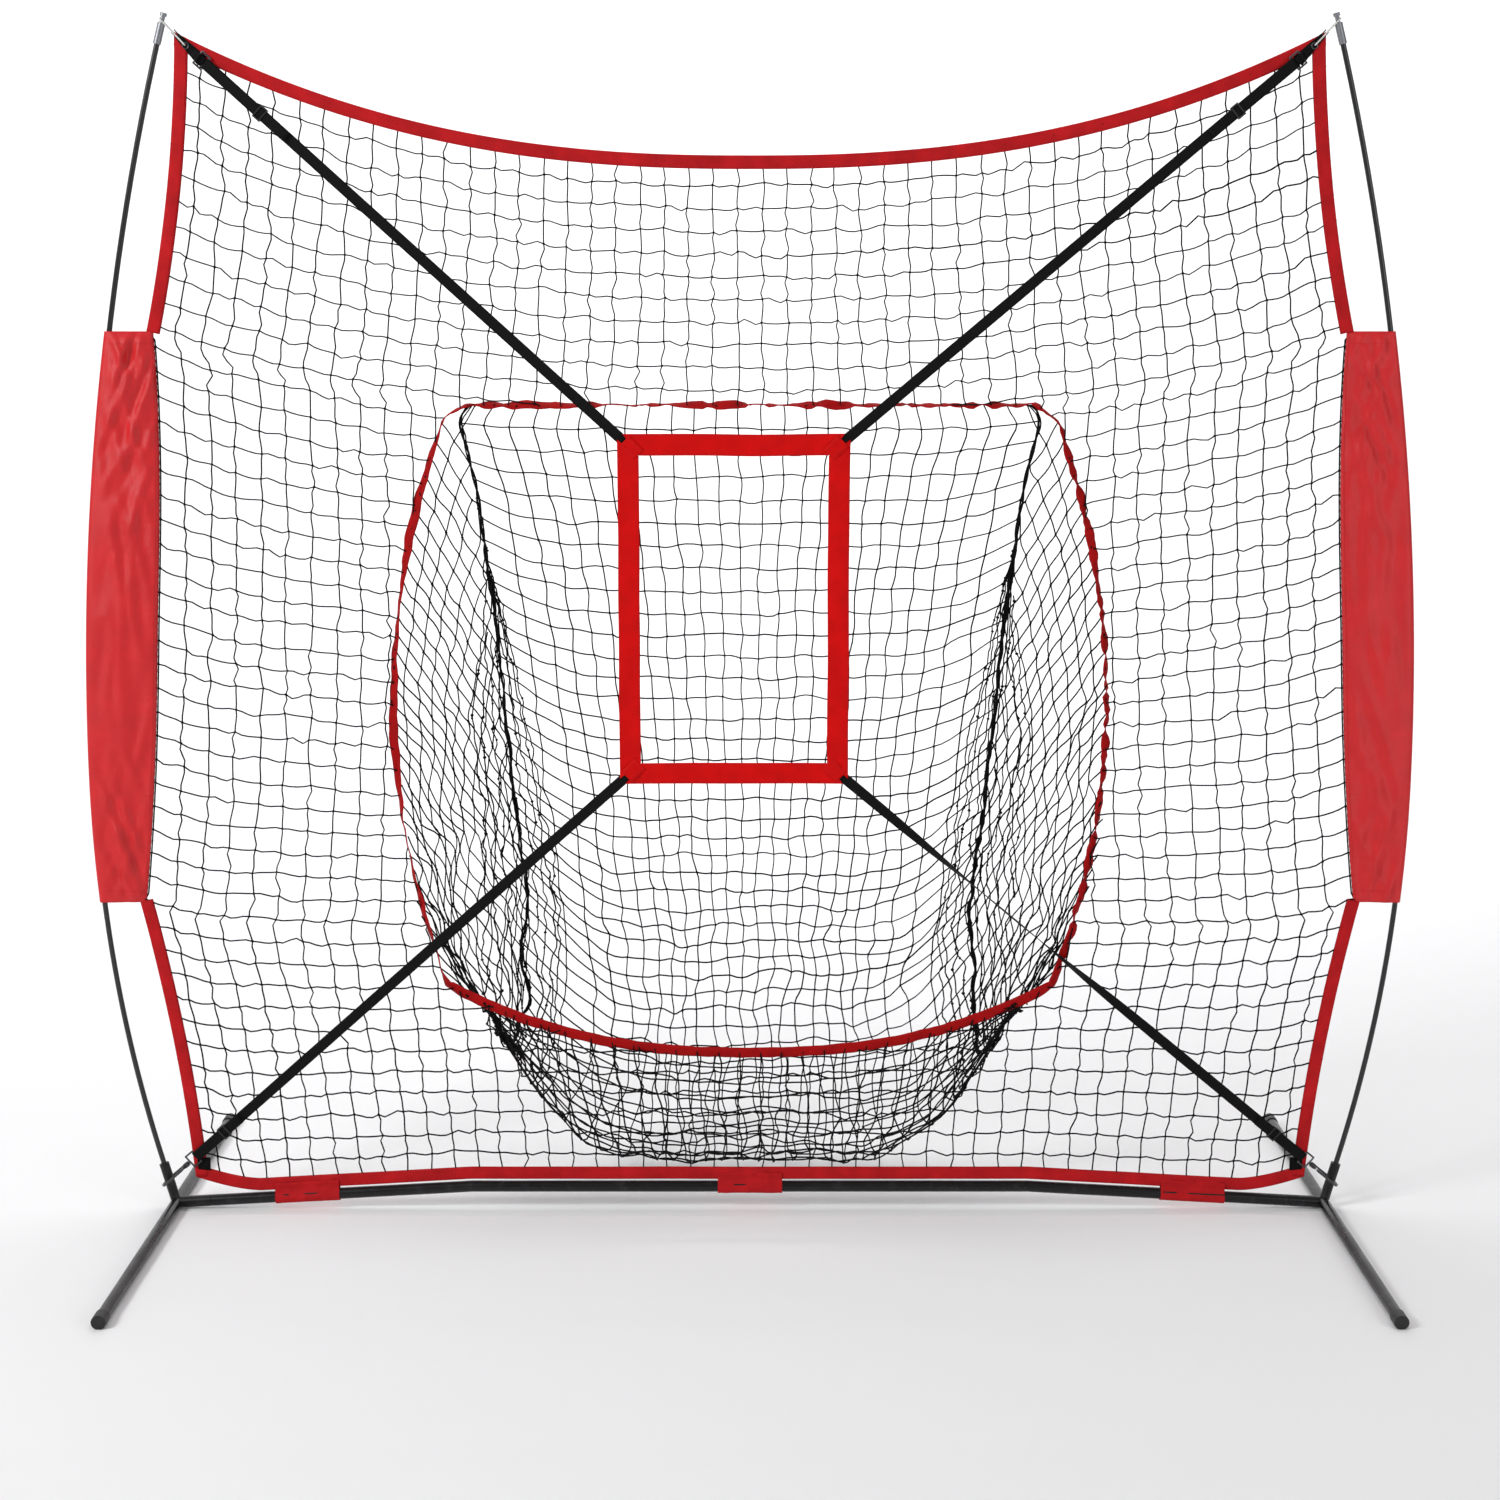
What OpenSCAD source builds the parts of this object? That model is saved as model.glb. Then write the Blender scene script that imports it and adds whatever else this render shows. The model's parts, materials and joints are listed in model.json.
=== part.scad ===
// Pitching target net: a two-foot bow frame, a net with a ball pocket, and a strapped-on target.
// Millimetres. The origin is on the ground under the middle, X across, -Y towards the pitcher.

/* [Feet and crossbar] */
// Length of each foot, front to back
foot_length = 1080; // [960:10:1200]
// Outside diameter of the steel tubes
tube_d = 22; // [21:0.5:25]
// Wall of the steel tubes
tube_wall = 1.5; // [1.2:0.1:1.8]
// Distance from the middle of the feet back to the net
net_y = 40; // [20:1:60]
// Height of the level middle of the crossbar
bar_high_z = 45; // [38:1:60]
// Distance from the middle to each bend of the crossbar
bar_bend_x = 540; // [480:5:600]

/* [Bow poles] */
// Diameter of the fibreglass poles
pole_d = 10; // [9:0.5:11]
// Distance from the middle to a pole at its widest
wide_x = 1239; // [1200:1:1280]
// Height at which the poles are widest
wide_z = 850; // [800:10:900]
// Radius of the bow below the widest point
lower_r = 2900; // [2700:50:3200]
// Radius of the bow above the widest point
upper_r = 5200; // [5000:50:6000]
// Height of the pole tips
tip_z = 2225; // [2150:5:2300]

/* [Net] */
// Distance from the middle to a top corner
top_half = 1031; // [1000:1:1040]
// Height of the top corners
top_corner_z = 2212; // [2180:1:2220]
// Sag of the top edge in the middle
top_sag = 215; // [150:5:260]
// Distance from the middle to a bottom corner
bottom_half = 1077; // [1050:1:1080]
// Width of the red edge binding
binding_w = 24; // [18:1:30]
// Thickness of the netting
net_t = 2; // [1.5:0.5:3]
// Thickness of the bindings
binding_t = 4; // [3:0.5:4]

/* [Pole sleeves] */
// Height of the sleeves' lower ends
sleeve_low_z = 613; // [580:1:650]
// Height of the sleeves' upper ends
sleeve_high_z = 1684; // [1600:1:1700]
// Width of a sleeve at its ends
sleeve_end_w = 80; // [60:1:90]
// Width of a sleeve in the middle
sleeve_mid_w = 125; // [100:1:140]

/* [Ball pocket] */
// Height of the mouth's top edge
mouth_top_z = 1550; // [1450:5:1600]
// Height of the mouth's bottom corners
mouth_corner_z = 449; // [400:1:500]
// Drop of the mouth's bottom edge below its corners
mouth_sag = 135; // [80:5:160]
// Half width of the mouth at the top
mouth_top_half = 556; // [500:1:600]
// Half width of the mouth at the bottom corners
mouth_low_half = 580; // [520:1:620]
// How far the mouth's sides bow out
mouth_bow = 102; // [60:1:120]
// Depth of the pocket behind the net
pocket_depth = 345; // [280:5:400]

/* [Target] */
// Width of the target over its bands
target_w = 430; // [400:1:460]
// Height of the target over its bands
target_h = 655; // [600:1:700]
// Height of the target's bottom edge
target_low_z = 843; // [800:1:900]
// Sideways place of the target's middle
target_x = -30; // [-40:1:0]
// Width of the red bands
band_w = 40; // [30:1:50]

/* [Straps] */
// Width of the black webbing
strap_w = 20; // [18:1:22]
// Thickness of the black webbing
strap_t = 1.5; // [1.2:0.1:1.6]
// Distance of the upper adjusters from their rings
upper_slide_at = 128; // [100:1:160]
// Distance of the lower adjusters from their rings
lower_slide_at = 75; // [65:1:90]

/* [Hidden] */

round_fn = 48;
arc_fn = 720;
gap = 0.3;
slip = 0.1;
bar_joint_gap = 0.8;

// Feet
cap_r = 13;
cap_wall = 1.8;
cap_length = 30;
foot_z = 12.4;
tube_r = tube_d / 2;
tube_bore_r = tube_r - tube_wall;
foot_half = foot_length / 2;

// Pole sockets: the poles run straight inside them and lean outwards
socket_length = 82;
socket_r = 9.5;
base_tip_r = 6.2;
socket_top_z = 92;
lean = asin((wide_z - socket_top_z) / lower_r);
base_x = pole_arc_x(socket_top_z) - (socket_top_z - foot_z) * tan(lean);
pole_bore_r = 2.5;
ferrule_r = 6.9;
ferrule_bore_r = pole_d / 2 + 0.45;
ferrule_length = 80;
tip_angle = asin((tip_z - wide_z) / upper_r);
middle_angle = tip_angle / 2;

// Crossbar: stubs on the feet, two cranked side bars and a level middle bar
bar_slope = atan((bar_high_z - foot_z) / (base_x - bar_bend_x));
stub_length = 68;
spigot_length = 50;
spigot_r = tube_bore_r - slip;
spigot_bore_r = spigot_r - tube_wall;
level_length = 60;
center_half = bar_bend_x - level_length;

// Spring buttons that lock the crossbar's joints
button_r = 3.5;
button_at = 22;
button_proud = 4;
leaf_t = 1;
leaf_w = 6;
leaf_length = 34;
leaf_r = spigot_bore_r - 2.2;

// Poles' tips and the elastic loops that pull the net's corners up
cap_out_r = 7;
cap_body = 40;
neck_r = 4;
neck_length = 12;
head_length = 6;
elastic_r = 1.5;
elastic_turn_r = neck_r + elastic_r + 1;

// Outline of the net
corner_power = 2.4;
upper_bow = 13;
lower_bow = 10;
lower_out = 12;
bottom_corner_rise = 35;
bottom_above_bar = 15;
edge_steps = 10;
front_y = net_y - binding_t / 2;
trim_w = 18;
mouth_round = 35;

// Target, straps and their hardware, in layers in front of the net
ring_r = 1.75;
loop_r = ring_r + gap;
strap_back_y = front_y - 2;
strap_front_y = strap_back_y - strap_t;
ring_y = strap_front_y - loop_r;
band_t = 2.5;
band_overlap = 26;
ring_length = 18;
ring_half_w = strap_w / 2 + 3;
upper_tail = upper_slide_at + 62;
lower_tail = lower_slide_at + 42;
slide_half = 8;
slide_bar = 2.6;
slide_wall = 1.35;
patch_t = 1.5;
grommet_r = 5;
corner_hole = [top_half - 20, top_corner_z - 24];
keeper_at = [top_half - 42, top_corner_z - 44];

// Snap hooks around the sockets
hook_z = 58;
hook_in_r = 13.5;
hook_out_r = 17.5;
hook_length = 30;
hook_t = 5;
hook_ring_at = 58;
hook_pin_at = [31, -15.5];
hook_pin_r = 0.8;
gate_nose_x = 8;
fork_x = 28;
fork_slot = 2.7;
gate_t = 2.4;
stem_r = 2.5;
barrel_r = 5;

// ---- Curves ----

// X of the right pole's axis at a height, on its two arcs
function pole_arc_x(z) = z > wide_z
    ? wide_x - upper_r + sqrt(upper_r ^ 2 - (z - wide_z) ^ 2)
    : wide_x - lower_r + sqrt(lower_r ^ 2 - (wide_z - z) ^ 2);

// X of the right pole's axis at any height, with the straight stretch in the socket
function pole_x(z) = z < socket_top_z ? base_x + (z - foot_z) * tan(lean) : pole_arc_x(z);

// Height of the crossbar's axis at a distance from the middle
function bar_z(x) = abs(x) < bar_bend_x
    ? bar_high_z
    : bar_high_z - (abs(x) - bar_bend_x) * tan(bar_slope);

// Points from one place to another along a parabola that bows to the left of the way
function bowed(from, to, bow, steps) =
    let (way = to - from, across = [-way[1], way[0]] / norm(way))
    [for (i = [0:steps]) let (s = i / steps) from + way * s + across * bow * 4 * s * (1 - s)];

// Sleeve width at a height
function sleeve_w(z) =
    let (middle = (sleeve_low_z + sleeve_high_z) / 2, half = (sleeve_high_z - sleeve_low_z) / 2)
    sleeve_end_w + (sleeve_mid_w - sleeve_end_w) * (1 - abs((z - middle) / half) ^ 2.5);
function sleeve_inner(z) = pole_x(z) - sleeve_w(z);

// The net's edges, on the right half, each listed from the top or the middle outwards
function top_z(x) = top_corner_z - top_sag * (1 - (abs(x) / top_half) ^ corner_power);
function bottom_z(x) = bar_z(x) + bottom_above_bar
    + bottom_corner_rise * (max(0, abs(x) - 950) / (bottom_half - 950)) ^ 1.5;
bottom_corner_z = bottom_z(bottom_half);
top_edge = [for (i = [-20:20]) let (x = top_half * i / 20) [x, top_z(x)]];
bottom_edge = [for (i = [-20:20]) let (x = bottom_half * i / 20) [x, bottom_z(x)]];
upper_edge = bowed([top_half, top_corner_z], [sleeve_inner(sleeve_high_z) + lower_out, sleeve_high_z],
    -upper_bow, edge_steps);
lower_edge = bowed([sleeve_inner(sleeve_low_z) + lower_out, sleeve_low_z], [bottom_half, bottom_corner_z],
    -lower_bow, edge_steps);
sleeve_edge = [for (i = [0:20])
    let (z = sleeve_high_z + (sleeve_low_z - sleeve_high_z) * i / 20) [sleeve_inner(z), z]];
right_edge = concat(upper_edge, sleeve_edge, lower_edge);

function flipped(path) = [for (i = [len(path) - 1:-1:0]) [-path[i][0], path[i][1]]];
function backwards(path) = [for (i = [len(path) - 1:-1:0]) path[i]];

// The mouth of the pocket
function mouth_half(z) =
    let (s = (z - mouth_corner_z) / (mouth_top_z - mouth_corner_z))
    mouth_low_half + (mouth_top_half - mouth_low_half) * s + mouth_bow * 4 * s * (1 - s)
    - mouth_round * (max(0, z - mouth_top_z + mouth_round) / mouth_round) ^ 2;
function mouth_low_z(u) = mouth_corner_z - mouth_sag * (1 - abs(u) ^ corner_power);
side_steps = 22;
mouth_side = [for (i = [0:side_steps])
    let (s = i / side_steps, z = mouth_top_z + (mouth_corner_z - mouth_top_z) * s ^ 1.3)
    [mouth_half(z), z]];
mouth_bottom = [for (i = [9:-1:-9]) [mouth_low_half * i / 10, mouth_low_z(i / 10)]];
mouth_path = concat(mouth_side, mouth_bottom, flipped(mouth_side));

// A path moved sideways: to its left by a distance
function ahead(path, i) = path[min(i + 1, len(path) - 1)] - path[max(i - 1, 0)];
function moved(path, by) = [for (i = [0:len(path) - 1])
    let (way = ahead(path, i)) path[i] + [-way[1], way[0]] / norm(way) * by];
function ribbon(path, from, to) = concat(moved(path, from), backwards(moved(path, to)));

// A closed path moved sideways
function moved_ring(path, by) = [for (i = [0:len(path) - 1])
    let (n = len(path), way = path[(i + 1) % n] - path[(i + n - 1) % n])
    path[i] + [-way[1], way[0]] / norm(way) * by];

// ---- Helpers ----

// The children are made for the right side, and the left side is their mirror image
module on_side(side) {
    if (side == "right") children();
    else mirror([1, 0, 0]) children();
}

// A flat outline across the net, with its middle at y
module flat_sheet(thickness, y = net_y) {
    translate([0, y + thickness / 2, 0]) rotate([90, 0, 0]) linear_extrude(thickness) children();
}

// A round bar along the lower or the upper arc of the right pole, between two angles
module lower_arc(r, from, to) {
    translate([wide_x - lower_r, net_y, wide_z]) rotate([90, 0, 0])
        rotate_extrude(start = from, angle = to - from, $fn = arc_fn)
            translate([lower_r, 0]) circle(r, $fn = 32);
}
module upper_arc(r, from, to) {
    translate([wide_x - upper_r, net_y, wide_z]) rotate([90, 0, 0])
        rotate_extrude(start = from, angle = to - from, $fn = arc_fn)
            translate([upper_r, 0]) circle(r, $fn = 32);
}

// The frame of the right pole's socket: Z runs up its axis from the foot
module on_socket() {
    translate([base_x, net_y, foot_z]) rotate([0, lean, 0]) children();
}

// The frame of the right pole's tip: Z runs on up its axis
module on_tip() {
    translate([pole_arc_x(tip_z), net_y, tip_z]) rotate([0, -tip_angle, 0]) children();
}

// The frame of the right side bar: X runs down its slope from the bend to the foot
module on_slope() {
    translate([bar_bend_x, net_y, bar_high_z]) rotate([0, bar_slope, 0]) children();
}
slope_length = (base_x - bar_bend_x) / cos(bar_slope);
joint_at = slope_length - stub_length;

module along_x(r, from, to) {
    translate([from, 0, 0]) rotate([0, 90, 0]) cylinder(h = to - from, r = r, $fn = round_fn);
}

// ---- Feet and crossbar ----

module foot_tube(side) {
    color("#1b1b1d") on_side(side) translate([base_x, 0, foot_z]) rotate([90, 0, 0]) difference() {
        cylinder(h = foot_length - 2 * cap_wall, r = tube_r, center = true, $fn = round_fn);
        cylinder(h = foot_length, r = tube_bore_r, center = true, $fn = round_fn);
    }
}

module foot_cap() {
    difference() {
        rotate([-90, 0, 0]) difference() {
            cylinder(h = cap_length, r = cap_r, $fn = round_fn);
            translate([0, 0, -1]) cylinder(h = cap_length - cap_wall + 1, r = tube_r + slip, $fn = round_fn);
        }
        translate([-cap_r, -1, -cap_r - foot_z]) cube([2 * cap_r, cap_length + 2, cap_r]);
    }
}

module foot_caps() {
    color("#161617") for (side = ["left", "right"]) on_side(side) for (end = [0, 1])
        mirror([0, end, 0]) translate([base_x, foot_half - cap_length, foot_z]) foot_cap();
}

module pole_socket(side) {
    color("#1d1d1f") on_side(side) difference() {
        on_socket() difference() {
            cylinder(h = socket_length, r = socket_r, $fn = round_fn);
            translate([0, 0, tube_r + 2]) cylinder(h = socket_length, r = base_tip_r + slip, $fn = round_fn);
        }
        translate([base_x, net_y, foot_z]) rotate([90, 0, 0])
            cylinder(h = 4 * tube_d, r = tube_r, center = true, $fn = round_fn);
        translate([base_x - tube_d, net_y - tube_d, -tube_d]) cube([2 * tube_d, 2 * tube_d, foot_z + tube_d]);
    }
}

module bar_stub(side) {
    color("#1b1b1d") on_side(side) difference() {
        on_slope() difference() {
            union() {
                along_x(tube_r, joint_at, slope_length);
                along_x(spigot_r, joint_at - spigot_length, joint_at + 1);
            }
            along_x(spigot_bore_r, joint_at - spigot_length - 1, slope_length + 1);
            button_hole(joint_at - button_at);
        }
        translate([base_x, net_y, foot_z]) rotate([90, 0, 0])
            cylinder(h = 4 * tube_d, r = tube_r, center = true, $fn = round_fn);
        on_socket() cylinder(h = socket_length, r = socket_r, $fn = round_fn);
    }
}

// A hole for a spring button, out of the back of the bar
module button_hole(x) {
    translate([x, 0, 0]) rotate([-90, 0, 0]) cylinder(h = tube_d, r = button_r + slip, $fn = round_fn);
}

module side_bar(side) {
    color("#1b1b1d") on_side(side) difference() {
        union() {
            on_slope() along_x(tube_r, 0, joint_at - bar_joint_gap);
            translate([bar_bend_x, net_y, bar_high_z]) {
                sphere(tube_r, $fn = round_fn);
                along_x(tube_r, bar_joint_gap - level_length, 0);
                along_x(spigot_r, -level_length - spigot_length, 2 * bar_joint_gap - level_length);
            }
        }
        on_slope() along_x(tube_bore_r, 0, joint_at + 1);
        on_slope() button_hole(joint_at - button_at);
        translate([bar_bend_x, net_y, bar_high_z]) {
            sphere(tube_bore_r, $fn = round_fn);
            along_x(tube_bore_r, 2 - level_length, 0);
            along_x(spigot_bore_r, -level_length - spigot_length - 1, 0);
            button_hole(-level_length - button_at);
        }
    }
}

module center_bar() {
    color("#1b1b1d") translate([0, net_y, bar_high_z]) difference() {
        along_x(tube_r, -center_half, center_half);
        along_x(tube_bore_r, -center_half - 1, center_half + 1);
        for (s = [-1, 1]) button_hole(s * (center_half - button_at));
    }
}

// A button on its spring leaf, pointing back out of the bar, at the bar's axis
module button() {
    rotate([-90, 0, 0]) translate([0, 0, leaf_r - leaf_t])
        cylinder(h = tube_r + button_proud - leaf_r + leaf_t, r = button_r, $fn = round_fn);
    translate([-leaf_length / 2, leaf_r - leaf_t, -leaf_w / 2]) cube([leaf_length, leaf_t, leaf_w]);
}

// The fixed leg of the same spring, with the bend that joins it to the leaf
module spring_leg() {
    bend_x = leaf_length / 2 + gap;
    translate([-leaf_length / 2, -leaf_r, -leaf_w / 2]) cube([leaf_length + gap, leaf_t, leaf_w]);
    translate([bend_x, 0, -leaf_w / 2]) linear_extrude(leaf_w) difference() {
        circle(leaf_r, $fn = round_fn);
        circle(leaf_r - leaf_t, $fn = round_fn);
        translate([-2 * leaf_r, -leaf_r]) square(2 * leaf_r);
    }
}

module at_stub_button() {
    on_slope() translate([joint_at - button_at, 0, 0]) children();
}
module at_bar_button() {
    translate([center_half - button_at, net_y, bar_high_z]) children();
}
module stub_button(side) {
    color("#c9ccd0") on_side(side) at_stub_button() button();
}
module bar_button(side) {
    color("#c9ccd0") on_side(side) at_bar_button() button();
}
module button_springs() {
    color("#9da1a6") for (side = ["left", "right"]) on_side(side) {
        at_stub_button() spring_leg();
        at_bar_button() spring_leg();
    }
}

// ---- Bow poles ----

module lower_pole(side) {
    color("#141416") on_side(side) difference() {
        union() {
            lower_arc(pole_d / 2, -lean, 0);
            on_socket() translate([0, 0, tube_r + 4])
                cylinder(h = straight_length - tube_r - 4, r = pole_d / 2, $fn = 32);
        }
        lower_arc(pole_bore_r, -lean - 0.01, 0.01);
        on_socket() translate([0, 0, tube_r + 3])
            cylinder(h = straight_length - tube_r - 3, r = pole_bore_r, $fn = 32);
    }
}
straight_length = (socket_top_z - foot_z) / cos(lean);

module upper_tube(from, to) {
    difference() {
        upper_arc(pole_d / 2, from, to);
        upper_arc(pole_bore_r, from - 0.01, to + 0.01);
    }
}
module middle_pole(side) {
    color("#141416") on_side(side) upper_tube(0, middle_angle);
}
module upper_pole(side) {
    color("#141416") on_side(side) upper_tube(middle_angle, tip_angle);
}

// Straight metal sleeves over the two joints of each pole
module ferrule() {
    difference() {
        cylinder(h = ferrule_length, r = ferrule_r, center = true, $fn = round_fn);
        cylinder(h = ferrule_length + 2, r = ferrule_bore_r, center = true, $fn = round_fn);
    }
}
module pole_ferrules() {
    color("#8f9398") for (side = ["left", "right"]) on_side(side) {
        translate([wide_x, net_y, wide_z]) ferrule();
        translate([wide_x - upper_r * (1 - cos(middle_angle)), net_y, wide_z + upper_r * sin(middle_angle)])
            rotate([0, -middle_angle, 0]) ferrule();
    }
}

// Metal tips on the poles' lower ends, seated in the sockets
module pole_base_tips() {
    color("#8f9398") for (side = ["left", "right"]) on_side(side) on_socket() difference() {
        translate([0, 0, tube_r + 2.1]) cylinder(h = socket_length - tube_r - 6, r = base_tip_r, $fn = round_fn);
        translate([0, 0, tube_r + 3.9]) cylinder(h = socket_length, r = pole_d / 2 + slip, $fn = round_fn);
    }
}

module pole_cap(side) {
    color("#a7abb1") on_side(side) on_tip() difference() {
        union() {
            translate([0, 0, 5 - cap_body]) cylinder(h = cap_body - 2, r = cap_out_r, $fn = round_fn);
            translate([0, 0, 3]) cylinder(h = neck_length + 2, r = neck_r, $fn = round_fn);
            translate([0, 0, 3 + neck_length]) cylinder(h = head_length, r = cap_out_r - 1, $fn = round_fn);
        }
        translate([0, 0, -cap_body]) cylinder(h = cap_body + 0.1, r = pole_d / 2 + slip + 0.15, $fn = round_fn);
    }
}

module shock_cords() {
    color("#e6e6e2") for (side = ["left", "right"]) on_side(side) {
        lower_arc(pole_bore_r - 1, 0.3 - lean, 0);
        upper_arc(pole_bore_r - 1, 0, tip_angle - 0.1);
    }
}

// An elastic loop round each pole cap's neck and through the eyelet of the net's corner
module corner_elastics() {
    neck_at = [pole_arc_x(tip_z), tip_z] + 6.5 * [-sin(tip_angle), cos(tip_angle)];
    way = corner_hole - neck_at;
    turn = atan2(way[1], way[0]);
    span = norm(way) - elastic_turn_r;
    color("#eceae4") for (side = ["left", "right"]) on_side(side)
        translate([neck_at[0], net_y, neck_at[1]]) rotate([0, -turn, 0]) {
            for (s = [-1, 1]) translate([0, s * elastic_turn_r, 0]) along_x(elastic_r, 0, span);
            rotate_extrude(start = 90, angle = 180, $fn = 96)
                translate([elastic_turn_r, 0]) circle(elastic_r, $fn = 24);
            translate([span, 0, 0]) rotate_extrude(start = -90, angle = 180, $fn = 96)
                translate([elastic_turn_r, 0]) circle(elastic_r, $fn = 24);
        }
}

// ---- Net ----

module net_outline() {
    polygon(concat(top_edge, right_edge, backwards(bottom_edge), flipped(right_edge)));
}
module top_strip() {
    polygon(ribbon(top_edge, 0, -binding_w));
}
module bottom_strip() {
    polygon(ribbon(bottom_edge, 0, binding_w));
}
module upper_strip() {
    polygon(ribbon(upper_edge, 0, -binding_w));
}
module lower_strip() {
    polygon(ribbon(lower_edge, 0, -binding_w));
}
module both_sides() {
    children();
    mirror([1, 0]) children();
}
module corner_eyelets() {
    both_sides() translate(corner_hole) circle(grommet_r, $fn = 32);
}
module mouth_outside() {
    polygon(moved_ring(mouth_path, trim_w / 2));
}
module mouth_inside() {
    polygon(moved_ring(mouth_path, -trim_w / 2));
}

module front_netting() {
    color("#101012") flat_sheet(net_t) difference() {
        net_outline();
        top_strip();
        bottom_strip();
        both_sides() upper_strip();
        both_sides() lower_strip();
        mouth_outside();
        corner_eyelets();
    }
}

module top_binding() {
    color("#c8232a") flat_sheet(binding_t) difference() {
        top_strip();
        corner_eyelets();
    }
}
module bottom_binding() {
    color("#c8232a") flat_sheet(binding_t) bottom_strip();
}
module upper_binding(side) {
    color("#c8232a") on_side(side) flat_sheet(binding_t) difference() {
        upper_strip();
        top_strip();
        corner_eyelets();
    }
}
module lower_binding(side) {
    color("#c8232a") on_side(side) flat_sheet(binding_t) difference() {
        lower_strip();
        bottom_strip();
    }
}
module pocket_trim() {
    color("#b0161c") flat_sheet(binding_t) difference() {
        mouth_outside();
        mouth_inside();
    }
}

// A satin sleeve: two layers sewn to the net's edge, closed round the pole
wrap_bore_r = ferrule_r + 0.6;
wrap_r = wrap_bore_r + 1.5;
module sleeve_sheet(from_z, to_z) {
    flat_sheet(binding_t) difference() {
        intersection() {
            polygon(concat(sleeve_edge, [for (i = [0:30])
                let (z = sleeve_low_z + (sleeve_high_z - sleeve_low_z) * i / 30) [pole_x(z), z]]));
            translate([0, from_z]) square([2 * wide_x, to_z - from_z]);
        }
        lower_strip();
        upper_strip();
    }
}
module pole_sleeve(side) {
    low_angle = asin((wide_z - sleeve_low_z) / lower_r);
    high_angle = asin((sleeve_high_z - wide_z) / upper_r);
    color("#cf2a30") on_side(side) {
        difference() {
            union() {
                sleeve_sheet(sleeve_low_z, wide_z);
                lower_arc(wrap_r, -low_angle, 0);
            }
            lower_arc(wrap_bore_r, -low_angle - 0.3, 0.01);
        }
        difference() {
            union() {
                sleeve_sheet(wide_z, sleeve_high_z);
                upper_arc(wrap_r, 0, high_angle);
            }
            upper_arc(wrap_bore_r, -0.01, high_angle + 0.3);
        }
    }
}

// Cloth sleeves that hold the net's bottom edge on the crossbar
tab_length = 155;
tab_at = 860;
module bar_tab(neck) {
    rotate([90, 0, 90]) translate([0, 0, -tab_length / 2]) linear_extrude(tab_length) difference() {
        union() {
            circle(tube_r + gap + 1.6, $fn = round_fn);
            translate([-(binding_t / 2 + 1.2), 0]) square([binding_t + 2.4, neck + 16]);
        }
        circle(tube_r + gap, $fn = round_fn);
        translate([-binding_t / 2, neck - 2]) square([binding_t, 30]);
    }
}
module bar_tabs() {
    color("#c8232a") {
        translate([0, net_y, bar_high_z]) bar_tab(bottom_above_bar);
        both_sides_of_bar() translate([tab_at, net_y, bar_z(tab_at)]) rotate([0, bar_slope, 0])
            bar_tab(bottom_above_bar);
    }
}
module both_sides_of_bar() {
    children();
    mirror([1, 0, 0]) children();
}

// The pocket's surface: u runs across from -1 to 1, v from the mouth's top, down the back, to its bottom
wall_share = 0.6;
pocket_power = 8;
lip_share = 0.2;
function bezier(a, b, c, d, t) =
    a * (1 - t) ^ 3 + b * 3 * t * (1 - t) ^ 2 + c * 3 * t ^ 2 * (1 - t) + d * t ^ 3;
mouth_back_y = net_y + binding_t / 2;
wall_foot = [mouth_back_y + pocket_depth - 15, 340];
function pocket_middle(v) = v < wall_share
    ? [mouth_back_y, mouth_top_z] + (wall_foot - [mouth_back_y, mouth_top_z]) * v / wall_share
    : bezier(wall_foot, wall_foot + [75, -275], [mouth_back_y + 105, -165],
        [mouth_back_y, mouth_corner_z - mouth_sag], (v - wall_share) / (1 - wall_share));
function back_half(v) = v < wall_share
    ? mouth_top_half - 150 * v / wall_share
    : bezier(mouth_top_half - 150, 330, 300, mouth_low_half, (v - wall_share) / (1 - wall_share));
function pocket_point(u, v) =
    let (side_z = mouth_top_z + (mouth_corner_z - mouth_top_z) * v, away = min(1, (1 - v) / lip_share),
        fill = 1 - abs(u) ^ (corner_power + (pocket_power - corner_power) * away),
        bulge = 1 - abs(u) ^ pocket_power, middle = pocket_middle(v))
    [u * (mouth_half(side_z) * (1 - bulge) + (v == 0 ? mouth_half(side_z) : back_half(v)) * bulge),
        mouth_back_y + (middle[0] - mouth_back_y) * bulge,
        side_z * (1 - fill) + middle[1] * fill];
pocket_u = 24;
pocket_v = 20;
function across_at(i) =
    let (s = 2 * i / pocket_u - 1) sign(s) * (1 - (1 - abs(s)) ^ 1.6);
function pocket_normal(u, v) =
    let (e = 0.01, du = pocket_point(min(u + e, 1), v) - pocket_point(max(u - e, -1), v),
        dv = pocket_point(u, min(v + e, 1)) - pocket_point(u, max(v - e, 0)), n = cross(du, dv))
    n / norm(n);
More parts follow.
